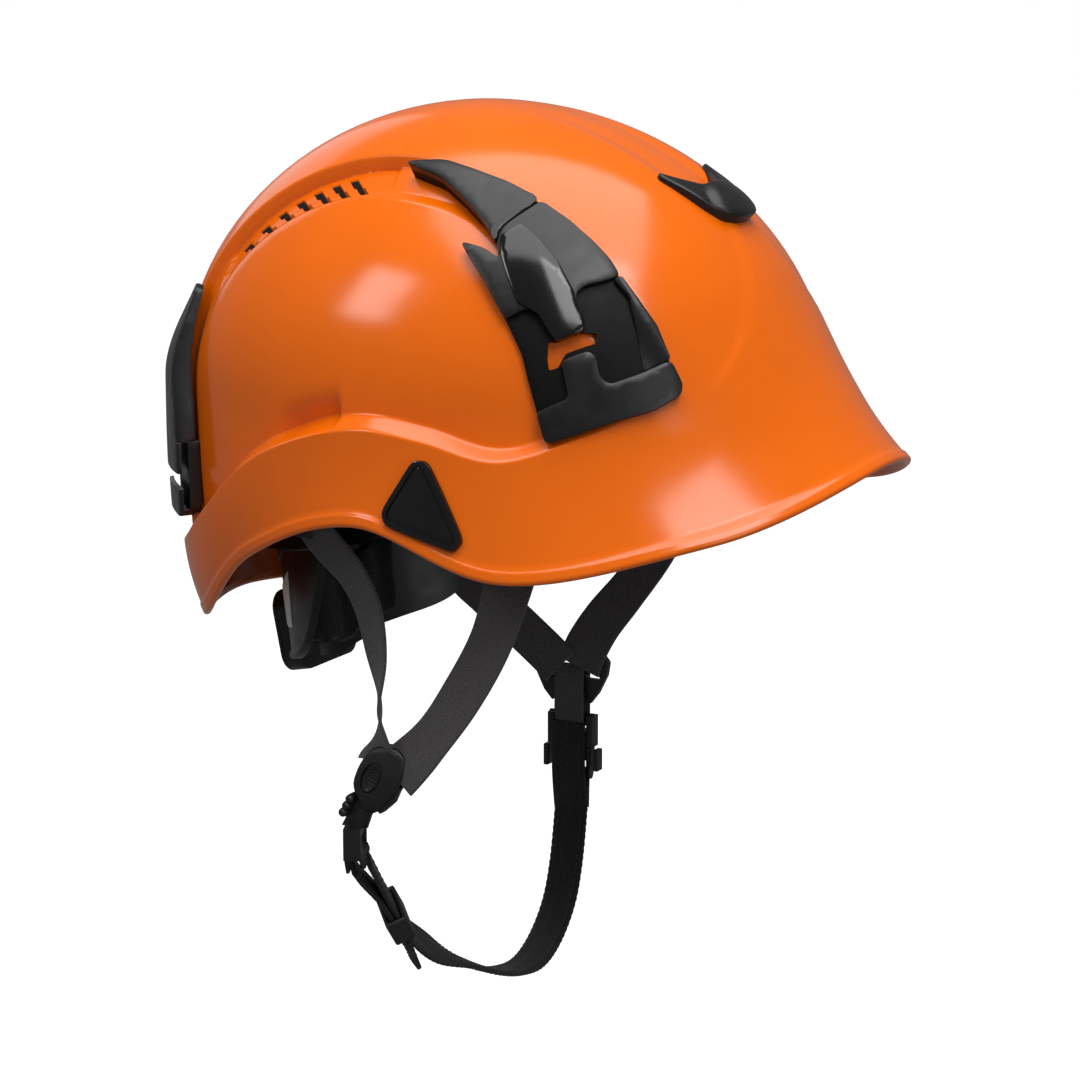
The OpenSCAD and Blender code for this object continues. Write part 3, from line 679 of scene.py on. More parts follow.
def side_map(side, turn=0.0, follow=False):
    """Mapper for outlines drawn as (rearward, up); follow adds the finished surface's own height."""
    def place(q, height):
        q = np.asarray(q, float)
        a, b = side_place(q[:, 1], q[:, 0], turn)
        if follow:
            height = height + shell.height_at(a, b)
        p = surf_out(a, b, height)
        p[:, 0] *= side
        return p
    return place


def plan_map(q, height):
    """Mapper for outlines drawn from above."""
    q = np.asarray(q, float)
    a = np.degrees(np.arctan2(q[:, 0], -q[:, 1]))
    reach = np.hypot(q[:, 0], q[:, 1])
    b = bisect(np.zeros(len(q)), np.full(len(q), 100.0),
               lambda t: np.hypot(surf(a, t)[:, 0], surf(a, t)[:, 1]) - reach)
    return surf_out(a, b, height)


# ---- front lamp clips ----
CLIP_WHOLE = [(3, 108), (-1, 109), (-12, 110), (-26, 107), (-41, 103), (-55, 97), (-66, 91), (-76, 84),
              (-83, 78), (-88, 72), (-95, 64), (-102, 55), (-108, 43), (-113, 34), (-113, 30), (-106, 25),
              (-96, 22), (-83, 17), (-72, 13), (-68, 25), (-61, 46), (-54, 57), (-43, 71), (-31, 83),
              (-39, 82), (-47, 78), (-44, 83), (-37, 90), (-27, 97), (-14, 104)]
CLIP_GAP = [(-69.5, 50.5), (-72, 50), (-80, 53.5), (-85, 53), (-85, 49.5), (-82, 48.5), (-76, 46), (-74, 41),
            (-71, 40), (-70, 44)]
CLIP_UPPER = [(3, 108), (-1, 109), (-12, 110), (-26, 107), (-41, 103), (-54, 97.5), (-48, 92), (-44, 88),
              (-44, 83), (-37, 90), (-27, 97), (-14, 104)]
CLIP_LOWER = [(-54, 97.5), (-66, 91), (-76, 84), (-83, 78), (-88, 72), (-82, 70), (-78, 69), (-76, 67),
              (-77, 62), (-80, 58), (-81, 54), (-77, 52), (-72, 50), (-68, 55), (-66, 59), (-64, 61),
              (-60, 61), (-54, 57), (-43, 71), (-31, 83), (-39, 82), (-47, 78), (-44, 83), (-44, 88),
              (-48, 92)]
CLIP_TONGUE = [(-51, 89), (-59, 84), (-68, 76), (-75, 67), (-77, 62), (-80, 58), (-81, 54), (-77, 52),
               (-72, 50), (-68, 55), (-65, 59), (-57, 63), (-52, 71), (-47, 79), (-45, 85)]
CLIP_HOOK = [(-75, 42), (-76, 44), (-83, 47), (-86, 45), (-88, 38), (-91, 35), (-101, 39), (-108, 43),
             (-113, 34), (-113, 30), (-106, 25), (-96, 22), (-83, 17), (-72, 13), (-68, 25), (-78, 30),
             (-78, 32)]
CLIP_STRIP = [(-88, 72), (-95, 64), (-102, 55), (-108, 43), (-101, 39), (-97, 53), (-92, 65), (-86, 71)]


def tongue_top(q):
    """The tongue swells across its middle."""
    middle = -62 + (q[:, 1] - 70) * 0.62
    return 4.2 + 1.1 * np.clip(1 - ((q[:, 0] - middle) / 13) ** 2, 0, 1)


def build_front_clip(side, name):
    place = side_map(side)
    base = plate("base", CLIP_WHOLE, place, 1.0, -4.6, bevel=0.5, corner=3)
    gap = plate("gap", CLIP_GAP, place, 9, -9, bevel=0.1, corner=0.6)
    boolean(base, gap)
    upper = plate("upper", CLIP_UPPER, place, 3.9, 0.4, bevel=0.9, corner=4)
    lower = plate("lower", CLIP_LOWER, place, 3.5, 0.4, bevel=0.8, corner=2.5)
    hook = plate("hook", CLIP_HOOK, place, 4.2, 0.4, bevel=1.0, corner=2.5)
    strip = plate("strip", CLIP_STRIP, place,
                  lambda q: 1.4 + 2.6 * ease((-q[:, 0] + 0.72 * q[:, 1] - 137) / 7 + 0.6), 0.6, bevel=0.4,
                  grid=1.6)
    # the base, seen only in the clip's pockets, takes the darker black of painted shade
    dress(base, "helmet", POCKET_SHADE_BLACK, sharp=32)
    base.name = name + "_base"
    whole = join([upper, lower, hook, strip], name)
    dress(whole, "helmet", SATIN_BLACK, ["lamp_clip_front_" + name.split("_")[-1]], sharp=32)
    tongue = plate(name + "_tongue", CLIP_TONGUE, place, tongue_top, 1.0, bevel=0.7, grid=1.8)
    dress(tongue, "helmet", GLOSS_BLACK, sharp=32)


build_front_clip(-1, "front_clip_right")
build_front_clip(1, "front_clip_left")

# ---- rear lamp clips ----
REAR_TURN = 60.0
REAR_BLOCK = [(3, 57), (-2, 55), (-6, 42), (-9, 25), (-12.5, 8), (-13.5, -4), (13.5, -4), (12.5, 8),
              (10, 25), (7, 42)]
REAR_BACK = [(-13.5, -3), (13.5, -3), (13, -29), (9, -33), (-10, -33), (-13.5, -29)]


def rear_top(q):
    return 3.4 + 4.6 * ease((56 - q[:, 1]) / 36)


def build_rear_clip(side, name):
    place = side_map(side, REAR_TURN)
    block = plate("block", REAR_BLOCK, place, rear_top, 0.3, bevel=1.2)
    back = plate("back", REAR_BACK, place, 3.5, -1.5, bevel=0.5)
    upper_arm = plate("upper_arm", [(-13.5, -3), (13.5, -3), (13.5, -16), (-13.5, -16)], place, 8, 6.1,
                      bevel=0.6)
    lower_arm = plate("lower_arm", [(-13.3, -21.5), (13.3, -21.5), (12, -33), (-12, -33)], place, 7.6, 5.8,
                      bevel=0.6)
    root = plate("root", [(-12, -30.5), (12, -30.5), (8, -34), (-8, -34)], place, 7, 0.3, bevel=0.6)
    whole = join([block, back, upper_arm, lower_arm, root], name)
    dress(whole, "helmet", SATIN_BLACK, ["lamp_clip_rear_" + name.split("_")[-1]], sharp=32)


build_rear_clip(-1, "rear_clip_right")
build_rear_clip(1, "rear_clip_left")

# ---- front hook ----
HOOK_HALF = [(0, -108), (7, -107.5), (12, -104.5), (16, -99), (19, -90), (21, -83), (19.5, -81.5),
             (14.5, -87), (8.5, -92), (3, -94)]
HOOK_OUTLINE = HOOK_HALF + [(-x, y) for x, y in reversed(HOOK_HALF[1:])]


def hook_top(q):
    """Low at the two tips, swelling into a rounded bulge at the front."""
    near = 1 - np.clip(np.hypot(q[:, 0] / 13, (q[:, 1] + 102) / 9.5), 0, 1) ** 2
    return 2.2 + 1.4 * ease((-q[:, 1] - 82) / 16) + 3.4 * np.sqrt(near)


hook = plate("front_hook", HOOK_OUTLINE, plan_map, hook_top, -1.8, bevel=0.9, corner=2.5, grid=1.1)
dress(hook, "helmet", SATIN_BLACK, ["front_clip"], sharp=50)

# ---- badges ----
BADGE = [(-27, 4), (-44, -25), (-15, -17)]


def grown(outline, by):
    return shrink(spread(outline, 2.0, 3.0), -by)


def build_badge(side, name):
    place = side_map(side, follow=True)
    rim = plate("rim", grown(BADGE, 3.0), place, 2.4, -1, bevel=0.9, corner=1.0, step=1.0)
    well = plate("well", grown(BADGE, 0.8), place, 4, 1.5, bevel=0.2, corner=1.0, step=1.0)
    boolean(rim, well)
    face = plate("face", grown(BADGE, -0.2), place, 2.0, 0.2, bevel=0.6, corner=1.0, step=1.0, grid=1.6)
    whole = join([rim, face], name)
    dress(whole, "helmet", GLOSS_BLACK, ["badge_plug_" + name.split("_")[-1]], sharp=30)


build_badge(-1, "side_plug_right")
build_badge(1, "side_plug_left")


# ---- straps ----
def spline_path(stops, n):
    """Points and face directions along a strap, in mm, evenly spaced."""
    places = np.array([s[0] for s in stops], float)
    looks = np.array([s[1] for s in stops], float)
    last = len(stops) - 1

    def sample(values, u):
        i = min(last - 1, int(u))
        before = values[i - 1] if i > 0 else 2 * values[0] - values[1]
        after = values[i + 2] if i + 2 <= last else 2 * values[last] - values[last - 1]
        return hermite(before, values[i], values[i + 1], after, u - i)

    fine = np.linspace(0, last, 400)
    track = np.array([sample(places, u) for u in fine])
    length = np.concatenate([[0], np.cumsum(np.linalg.norm(np.diff(track, axis=0), axis=1))])
    even = np.interp(np.linspace(0, length[-1], n + 1), length, fine)
    return (np.array([sample(places, u) for u in even]), np.array([sample(looks, u) for u in even]),
            np.linspace(0, length[-1], n + 1))


def strap_frame(points, looks):
    along = np.gradient(points, axis=0)
    along /= np.linalg.norm(along, axis=1, keepdims=True)
    face = looks - np.sum(looks * along, axis=1, keepdims=True) * along
    face /= np.linalg.norm(face, axis=1, keepdims=True)
    return along, face, np.cross(along, face)


def strap(name, stops, width, thick, body, cloth, stands_for, pitch=1.0, ridge=None, scallop=0.0):
    """Flat webbing with rounded edges; ridge(u) adds height across the width, scallop waves the edges."""
    length = sum(math.dist(p[0], q[0]) for p, q in zip(stops[:-1], stops[1:]))
    n = max(12, int(length / pitch))
    points, looks, run = spline_path(stops, n)
    along, face, across = strap_frame(points, looks)
    half = width / 2
    round_r = thick / 2
    shares = np.linspace(-1, 1, 15)
    upper = [((half - round_r) * u, round_r + (ridge(u) if ridge else 0)) for u in shares]
    lower = [((half - round_r) * u, -round_r - (ridge(u) if ridge else 0)) for u in reversed(shares)]
    right = [(half - round_r + round_r * math.cos(t), round_r * math.sin(t))
             for t in np.radians([50, 0, -50])]
    left = [(-half + round_r - round_r * math.cos(t), round_r * math.sin(t))
            for t in np.radians([-50, 0, 50])]
    section = upper + right + lower + left
    around = [0.0]
    for p, q in zip(section[:-1], section[1:]):
        around.append(around[-1] + math.dist(p, q))
    verts = []
    uvs = []
    for k in range(n + 1):
        wave = 1 + scallop * math.sin(run[k] * 2 * math.pi / 3.0)
        for (w, h), u in zip(section, around):
            verts.append(points[k] + across[k] * w * wave + face[k] * h)
            uvs.append((u, run[k]))
    faces = tube_faces(n + 1, len(section))
    return new_piece(name, verts, faces, body, cloth, stands_for, uvs=uvs, sharp=60)


def stitches(name, stops, lines, height, body, pitch=3.0, size=2.0, wide=0.5, both=True,
             span=(0.02, 0.98)):
    """Rows of thread stitches standing on a strap, at distances from its middle line."""
    length = sum(math.dist(p[0], q[0]) for p, q in zip(stops[:-1], stops[1:]))
    n = int(length / 0.5)
    points, looks, run = spline_path(stops, n)
    along, face, across = strap_frame(points, looks)
    verts = []
    faces = []
    start = run[-1] * span[0]
    while start < run[-1] * span[1]:
        k = min(n, int(start / run[-1] * n))
        for line in lines:
            for sign in ((1, -1) if both else (1,)):
                centre = points[k] + across[k] * line + face[k] * height * sign
                base = len(verts)
                for t in np.linspace(-1, 1, 5):
                    r = wide / 2 * math.sqrt(max(0.08, 1 - t ** 4))
                    lift = 0.12 * (1 - t * t)
                    for q in range(6):
                        ang = math.radians(60 * q)
                        verts.append(centre + along[k] * t * size / 2 + across[k] * r * math.cos(ang)
                                     + face[k] * sign * (lift + 0.55 * r * math.sin(ang)))
                faces += tube_faces(5, 6, base)
        start += pitch
    return new_piece(name, verts, faces, body, THREAD)


WEB_W = 20.0
WEB_T = 1.4
CHIN_W = 16.0
CHIN_T = 2.2
OUT = (1, 0, 0)
IN = (-1, 0, 0)
FRONT_RIGHT_STOPS = [((-85.5, -60, -14), (-0.85, -0.5, 0)), ((-86.5, -58, -26), (-0.9, -0.3, 0)),
                     ((-87, -53.5, -44), IN), ((-87, -46, -66), (-0.96, 0.25, 0)),
                     ((-87, -33.5, -88), (-0.93, 0.35, 0)), ((-87.2, -19.4, -107.6), (-0.88, 0.47, 0)),
                     ((-87.3, -4.5, -123), IN)]
FRONT_LEFT_STOPS = [((85.5, -60, -14), (0.85, -0.5, 0)), ((86.5, -54, -28), (0.9, -0.4, 0)),
                    ((86.5, -42, -46), (0.9, -0.4, 0)), ((86, -30, -66), (0.9, -0.4, 0)),
                    ((84.5, -18, -83), (0.92, -0.38, 0)), ((83.5, -7, -97), (0.97, -0.2, 0)),
                    ((82.1, 0, -109), OUT), ((82, 3.4, -118), OUT)]
REAR_RIGHT_STOPS = [((-92.6, 31.6, -21), (-0.95, 0.32, 0)), ((-89.6, 26, -32), (-0.95, 0.32, -0.1)),
                    ((-84.6, 16, -46), (-0.9, 0.44, 0)), ((-82, 10, -60), (-0.88, 0.48, 0)),
                    ((-82, 6.6, -78), (-0.79, 0.61, 0)), ((-83, 4.8, -98), (-0.47, 0.88, 0)),
                    ((-85, 3.2, -110), (-0.72, 0.69, 0)), ((-86, 3, -118), IN)]
REAR_LEFT_STOPS = [((92.6, 31.6, -21), (0.95, 0.32, 0)), ((89.6, 33, -32), (0.95, 0.32, -0.1)),
                   ((84, 50, -52), (0.85, 0.5, 0)), ((79, 60, -66), (0.9, 0.3, 0)),
                   ((78, 57, -80), (0.95, 0.2, -0.1)), ((79, 46, -91), OUT), ((80.2, 31, -103), OUT),
                   ((80.6, 17, -114), OUT), ((80.6, 12, -118.5), OUT)]

for name, stops, node in (("front_webbing_right", FRONT_RIGHT_STOPS, "front_strap_right"),
                          ("front_webbing_left", FRONT_LEFT_STOPS, "front_strap_left"),
                          ("rear_webbing_right", REAR_RIGHT_STOPS, "rear_strap_right"),
                          ("rear_webbing_left", REAR_LEFT_STOPS, "rear_strap_left")):
    strap(name, stops, WEB_W, WEB_T, "helmet", WEBBING, [node])

# direction of the strap through the keeper, and its face there
RUN = (0.586, -0.073, -0.806)
TWIST = (-0.5, 0.75, -0.43)
KEEPER = (-62.8, 9.3, -187.5)


def by_keeper(run, lift=0.0):
    return tuple(c + run * r + lift * t for c, r, t in zip(KEEPER, RUN, TWIST))


CHIN_STOPS = [((84.5, 7.8, -169), OUT), ((83.5, 8, -182), OUT), ((77, 7, -204), (0.95, 0, -0.3)),
              ((68, 6, -220), (0.8, 0, -0.6)), ((53, 5, -232), (0.45, 0, -0.9)),
              ((36, 4, -237), (0.1, 0, -1)), ((18, 4, -235), (-0.15, 0, -1)),
              ((0, 4, -229), (-0.35, 0.05, -0.95)), ((-22, 5, -218), (-0.5, 0.3, -0.8)),
              ((-42, 6.8, -207), (-0.45, 0.75, -0.5)), (by_keeper(10), TWIST), (by_keeper(0), TWIST),
              (by_keeper(-14), TWIST), ((-77.4, 10.6, -167), TWIST), ((-83.4, 11.2, -158.4), TWIST)]
TAIL_STOPS = [((-84.1, 17.8, -162), TWIST), ((-79.2, 16.2, -168.5), TWIST), (by_keeper(-13, 2.7), TWIST),
              (by_keeper(0, 2.7), TWIST), (by_keeper(11, 2.7), TWIST), ((-49, 13.4, -205), TWIST),
              ((-42, 14.6, -211), TWIST)]


def chin_ridge(u):
    """Two low ribs either side of the middle line."""
    return 0.22 * math.exp(-((abs(u) - 0.17) / 0.09) ** 2)


strap("chin_webbing", CHIN_STOPS, CHIN_W, CHIN_T, "chin", CHIN_WEBBING, ["chin_strap"],
      pitch=0.75, ridge=chin_ridge, scallop=0.018)
strap("tail_webbing", TAIL_STOPS, CHIN_W, CHIN_T, "chin", CHIN_WEBBING, ["strap_tail"],
      pitch=0.75, ridge=chin_ridge, scallop=0.018)
stitches("chin_stitching", CHIN_STOPS, (-5.6, 5.6), CHIN_T / 2, "chin", pitch=3.6, size=2.5)
stitches("tail_stitching", TAIL_STOPS, (-5.6, 5.6), CHIN_T / 2, "chin", pitch=3.6, size=2.5)


# strap ends folded round the bars of the two buckles
BAR_SIDE = (-0.407, 0.914, 0)
BAR_FRONT = (0.407, -0.914, 0)
UP = (0, 0, 1)
RIGHT_FOLD = [((-82.9, 11.5, -159.4), BAR_FRONT), ((-84.4, 12.5, -156), BAR_FRONT), ((-85.5, 15, -153), UP),
              ((-86.6, 17.5, -156), BAR_SIDE), ((-84.7, 17.9, -161.4), BAR_SIDE)]
LEFT_FOLD = [((86.4, 7.8, -181), OUT), ((86.7, 7.8, -171), OUT), ((87, 7.8, -166), OUT),
             ((84.5, 7.8, -163.3), UP), ((82, 7.8, -166), IN), ((82.4, 7.8, -171), IN),
             ((82.6, 7.8, -179), IN)]
LOOP_STOPS = [((87.7, 8, -131), OUT), ((87.7, 8, -139.5), OUT), ((86.8, 8, -142.8), (0.7, 0, -0.7)),
              ((84.5, 8, -143.8), (0, 0, -1)), ((82.2, 8, -142.8), (-0.7, 0, -0.7)), ((81.3, 8, -139.5), IN),
              ((81.3, 8, -131), IN), ((81.3, 8, -122.4), IN), ((82.2, 8, -119.1), (-0.7, 0, 0.7)),
              ((84.5, 8, -118.1), UP), ((86.8, 8, -119.1), (0.7, 0, 0.7)), ((87.7, 8, -122.4), OUT),
              ((87.7, 8, -130.9), OUT)]
strap("right_fold_webbing", RIGHT_FOLD, 15.4, 1.6, "chin", CHIN_WEBBING, (), pitch=0.5)
strap("left_fold_webbing", LEFT_FOLD, 14.2, 1.5, "chin", CHIN_WEBBING, (), pitch=0.5)
stitches("left_fold_stitching", LEFT_FOLD, (-4.5, 0, 4.5), 0.75, "chin", pitch=3.0, size=2.2,
         both=False, span=(0.03, 0.25))
LEFT_PATCH = [((82.9, 7.8, -181), IN), ((81.3, 7.8, -170), IN), ((80.5, 7.8, -160), IN),
              ((80.5, 7.8, -142.4), IN)]
strap("stitched_end", LEFT_PATCH, 16.2, 1.4, "chin", CHIN_WEBBING, (), pitch=0.5)
stitches("stitched_end_rows", LEFT_PATCH, (-5.6, 0, 5.6), 0.7, "chin", pitch=4.0, size=2.4,
         both=False)
strap("loop_webbing", LOOP_STOPS, 14.0, 1.2, "chin", WEBBING, ["loop_strap_left"], pitch=0.7)


# ---- moulded hardware: the CAD shapes with their edges rounded ----
def rounded_copy(node, name, body, paint_with, bevel=0.35, segments=3, weld=0.02):
    """A node's own shape with flat faces merged and every hard edge rounded."""
    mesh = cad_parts[node].data.copy()
    obj = bpy.data.objects.new(name, mesh)
    bpy.context.scene.collection.objects.link(obj)
    shape = bmesh.new()
    shape.from_mesh(mesh)
    bmesh.ops.remove_doubles(shape, verts=shape.verts[:], dist=weld * MM)
    bmesh.ops.dissolve_limit(shape, angle_limit=math.radians(1.0), verts=shape.verts[:], edges=shape.edges[:])
    shape.to_mesh(mesh)
    shape.free()
    mod = obj.modifiers.new("edges", "BEVEL")
    mod.width = bevel * MM
    mod.segments = segments
    mod.limit_method = "ANGLE"
    mod.angle_limit = math.radians(32)
    mod.use_clamp_overlap = True
    apply_modifiers(obj)
    return dress(obj, body, paint_with, [node], sharp=40)


for node, body in (("y_plate_left", "helmet"), ("buckle_right", "chin"), ("buckle_socket_left", "chin"),
                   ("buckle_plug_left", "chin"), ("buckle_tab_front", "tab_front"),
                   ("buckle_tab_rear", "tab_rear")):
    rounded_copy(node, node + "_moulding", body, BUCKLE_BLACK)


POD_OUTLINE = [(5, -112), (-5, -111.5), (-9.6, -115), (-8.4, -123), (-5, -130), (4, -139), (9, -139.5),
               (14, -128.5), (10.6, -120)]
DISH_AT = (4.4, -124)
DISH_LONG = 6.6
DISH_SHORT = 3.5


def dish_point(x, y, depth):
    """A point of the thumb dish: x along its length, y across it, depth into the adjuster."""
    lean = math.radians(30)
    return (-91 + depth, DISH_AT[0] - x * math.sin(lean) + y * math.cos(lean),
            DISH_AT[1] + x * math.cos(lean) + y * math.sin(lean))


def disc(points, profile, steps, shape):
    """Adds a closed stack of rings to points and returns its faces; shape(r, h, t) gives a point."""
    base = len(points)
    for r, h in profile:
        points += [shape(r, h, 2 * math.pi * q / steps) for q in range(steps)]
    return tube_faces(len(profile), steps, base)


def build_pod():
    """Adjuster of two rounded plates, with a window for the thumb dish in the outer one."""
    def outer_map(q, height):
        q = np.asarray(q, float)
        return np.stack([-87.95 - np.asarray(height) * np.ones(len(q)), q[:, 0], q[:, 1]], axis=1)

    def domed(q):
        return 3.3 - 0.012 * ((q[:, 0] - DISH_AT[0]) ** 2 + (q[:, 1] - DISH_AT[1]) ** 2)

    outer = plate("outer", POD_OUTLINE, outer_map, domed, 0, bevel=1.3, step=0.9, corner=3.4, grid=1.6)
    window = []
    cut = disc(window, [(1, -3), (1, 4)], 48, lambda r, h,
               t: dish_point((DISH_LONG + 0.4) * math.cos(t), (DISH_SHORT + 0.4) * math.sin(t), h))
    boolean(outer, loose("window", window, cut))
    inner = plate("inner", POD_OUTLINE, lambda q, h: outer_map(q, np.asarray(h) - 5.2), 2, 0, bevel=0.6,
                  step=0.9, corner=3.4)
    spine = plate("spine",
                  [(-6.4, -128), (-3.6, -134), (2, -139), (3.6, -137.6), (-1.6, -132.4), (-4.4, -127)],
                  lambda q, h: outer_map(q, np.asarray(h) - 3.4), 3.6, 0, bevel=0.1, step=0.9, corner=0.6)
    stud = []
    core = disc(stud, [(2.45, -87.5), (2.45, -84.4)], 32,
                lambda r, h, t: (h, 8 + r * math.cos(t), -131 + r * math.sin(t)))
    pod = join([outer, inner, spine, loose("stud", stud, core)], "adjuster_plates")
    dress(pod, "helmet", BUCKLE_BLACK, ["slider_right"], sharp=38)


def build_button():
    """Oval thumb dish with curved rows of small dots, sunk in the adjuster's window."""
    points = []
    profile = [(0.1, 1.9), (0.3, 1.75), (0.5, 1.5), (0.7, 1.1), (0.85, 0.7), (0.94, 0.4), (1.0, 0.5),
               (1.0, 2.4)]
    faces = disc(points, profile, 48,
                 lambda r, h, t: dish_point(DISH_LONG * r * math.cos(t), DISH_SHORT * r * math.sin(t), h))
    for row in range(7):
        for k in range(5):
            y = (k - 2) * 1.15
            x = (row - 3) * 1.6 + 0.16 * y * y
            r = math.hypot(x / DISH_LONG, y / DISH_SHORT)
            if r > 0.84:
                continue
            depth = 1.95 - 1.75 * r * r
            faces += disc(points, [(0.44, 0.25), (0.42, -0.12), (0.27, -0.32), (0.08, -0.38)], 8,
                          lambda size, h,
                          t: dish_point(x + size * math.cos(t), y + size * math.sin(t), depth + h))
    new_piece("thumb_dish", points, faces, "button", BUCKLE_BLACK, ["slider_button"],
              sharp=40)


def build_grip():
    """Three rounded ridges on the buckle beside the adjuster."""
    points = []
    faces = []
    for k in range(3):
        y = 18 - 1.6 * k
        z = -140 + 2.9 * k
        faces += disc(points,
                      [(1.0, -90.6), (1.7, -90), (1.9, -88.8), (1.9, -83.6), (1.7, -82.6), (1.0, -82)], 24,
                      lambda r, h, t: (h, y + r * math.cos(t), z + r * math.sin(t)))
    new_piece("buckle_grip", points, faces, "chin", BUCKLE_BLACK, sharp=40)


build_pod()
build_grip()
build_button()
keeper = rounded_copy("strap_keeper", "keeper_moulding", "keeper", RUBBER, bevel=0.8)
middle = Vector(KEEPER) * MM
turn = Matrix.Rotation(math.radians(-21.8), 4, Vector(RUN))
keeper.data.transform(Matrix.Translation(middle) @ turn @ Matrix.Translation(-middle))
for node, body in (("ratchet_housing", "nape"), ("ratchet_cover", "nape"), ("ratchet_knob", "knob"),
                   ("ratchet_pinion", "knob"), ("rack_right", "rack_right"), ("rack_left", "rack_left"),
                   ("cradle_keys", "helmet"), ("headband_links", "helmet"), ("strap_anchors_front", "helmet"),
                   ("strap_anchors_rear", "helmet"), ("nape_pivot_pins", "helmet")):
    rounded_copy(node, node + "_moulding", body, FRAME_BLACK, bevel=0.3)
rounded_copy("knob_screw", "knob_screw_head", "knob", STEEL, bevel=0.15)


# ---- headband, nape cradle, pads and liner ----
def ellipse_r(a, half_x, half_y):
    t = np.radians(a)
    return 1 / np.sqrt((np.sin(t) / half_x) ** 2 + (np.cos(t) / half_y) ** 2)


def outward_and_up(a, lean):
    """Directions out of the head and up a band that leans outwards."""
    t = math.radians(a)
    d = np.array([math.sin(t), -math.cos(t), 0])
    up = np.array([0, 0, 1.0]) + lean * d
    return d, up / np.linalg.norm(up)


def band_piece(name, azimuths, ring, thick, body, paint_with, stands_for, lip=0.7, lip_h=2.2, rows=14):
    """Band round the head with a raised lip along both edges; ring(a) gives its radius, edges and lean."""
    verts = []
    for a in azimuths:
        radius, low, high, lean = ring(a)
        mid = (low + high) / 2
        half = (high - low) / 2
        heights = [-half, -half + lip_h * 0.5, -half + lip_h]
        heights += list(np.linspace(-half + lip_h + 0.6, half - lip_h - 0.6, rows))
        heights += [half - lip_h, half - lip_h * 0.5, half]
        outs = []
        for h in heights:
            edge = half - abs(h)
            swell = lip * (1 - ease((edge - lip_h * 0.6) / (lip_h * 0.7)))
            soft = 0.45 * math.sqrt(max(0, 1 - min(1, edge / 0.9)))
            outs.append(thick / 2 + swell - soft)
        d, up = outward_and_up(a, lean)
        centre = d * radius + np.array([0, 0, mid])
        verts += [centre + up * h + d * o for h, o in zip(heights, outs)]
        verts += [centre + up * h - d * thick / 2 for h in reversed(heights)]
    faces = tube_faces(len(azimuths), len(verts) // len(azimuths))
    return new_piece(name, verts, faces, body, paint_with, stands_for, sharp=45)


def head_ring(a):
    f = float(fold(a))
    mid = 18 - 46 * float(ease(f / 145))
    return float(ellipse_r(a, 81, 108)), mid - 17, mid + 17, 0.0


def nape_ring(a):
    k = min(1.0, max(0.0, (float(fold(a)) - 116) / 64))
    low = -34 - 52 * (1 - (1 - k) ** 10) - 17 * k
    high = -10 - 38 * (1 - (1 - k) ** 3) - 12 * k
    radius = float(ellipse_r(a, 79, 84)) - 6 * float(ease((fold(a) - 156) / 10))
    return radius, low, high, 0.2 * k


band_piece("headband_strip", np.linspace(-138, 138, 140), head_ring, 2.0, "helmet",
           FRAME_BLACK, ["headband"])
band_piece("nape_cradle_strip", np.linspace(113, 247, 120), nape_ring, 2.4, "nape",
           FRAME_BLACK, ["nape_cradle"], lip=1.0, lip_h=3.0)


def label_ring(a):
    radius, low, high, lean = nape_ring(a)
    return radius + 1.5, low + 13, high - 13, lean


band_piece("care_label_blank", np.linspace(207, 221, 14), label_ring, 0.4, "nape", LABEL,
           ["care_label"], lip=0.0, lip_h=0.8, rows=6)


def pad_form(name, azimuths, ring, thick):
    """A plain closed pad before it is swollen."""
    verts = []
    for a in azimuths:
        radius, low, high, lean = ring(a)
        d, up = outward_and_up(a, lean)
        mid = np.array([0, 0, (low + high) / 2]) + d * radius
        half = (high - low) / 2
        for h, o in ((half, 0.4), (half, -0.4), (-half, -0.4), (-half, 0.4)):
            verts.append(mid + up * h + d * o * thick)
    return loose(name, verts, tube_faces(len(azimuths), 4))


def swell(obj, voxel, pressure, cap, frames=20):
    """Remesh, inflate with Cloth and keep each point within cap mm of where it began."""
    mod = obj.modifiers.new("remesh", "REMESH")
    mod.mode = "VOXEL"
    mod.voxel_size = voxel * MM
    apply_modifiers(obj)
    before = np.array([v.co[:] for v in obj.data.vertices])
    cloth = obj.modifiers.new("cloth", "CLOTH")
    cloth.settings.use_pressure = True
    cloth.settings.uniform_pressure_force = pressure
    cloth.settings.effector_weights.gravity = 0
    cloth.settings.quality = 6
    scene = bpy.context.scene
    for f in range(1, frames + 1):
        scene.frame_set(f)
    apply_modifiers(obj)
    scene.frame_set(1)
    after = np.array([v.co[:] for v in obj.data.vertices])
    move = after - before
    size = np.linalg.norm(move, axis=1, keepdims=True)
    limited = before + move * np.minimum(1, cap * MM / np.maximum(size, 1e-9))
    for v, co in zip(obj.data.vertices, limited):
        v.co = co
    mod = obj.modifiers.new("smooth", "SUBSURF")
    mod.levels = 1
    mod.render_levels = 1
    apply_modifiers(obj)
    return obj


def brow_ring(a):
    radius, low, high, lean = head_ring(a)
    return radius - 4.2, low + 3, high - 3, lean


def nape_pad_ring(a):
    radius, low, high, lean = nape_ring(a)
    return radius - 4.4, low + 5, high - 5, lean


brow = swell(pad_form("brow_cushion", np.linspace(-51, 51, 40), brow_ring, 4.4), 2.4, 3.0, 1.4)
dress(brow, "helmet", PAD_MESH, ["brow_pad"])
nape_soft = swell(pad_form("nape_cushion", np.linspace(151, 209, 30), nape_pad_ring, 4.2), 2.4, 3.0, 1.4)
dress(nape_soft, "nape", PAD_MESH, ["nape_pad"])


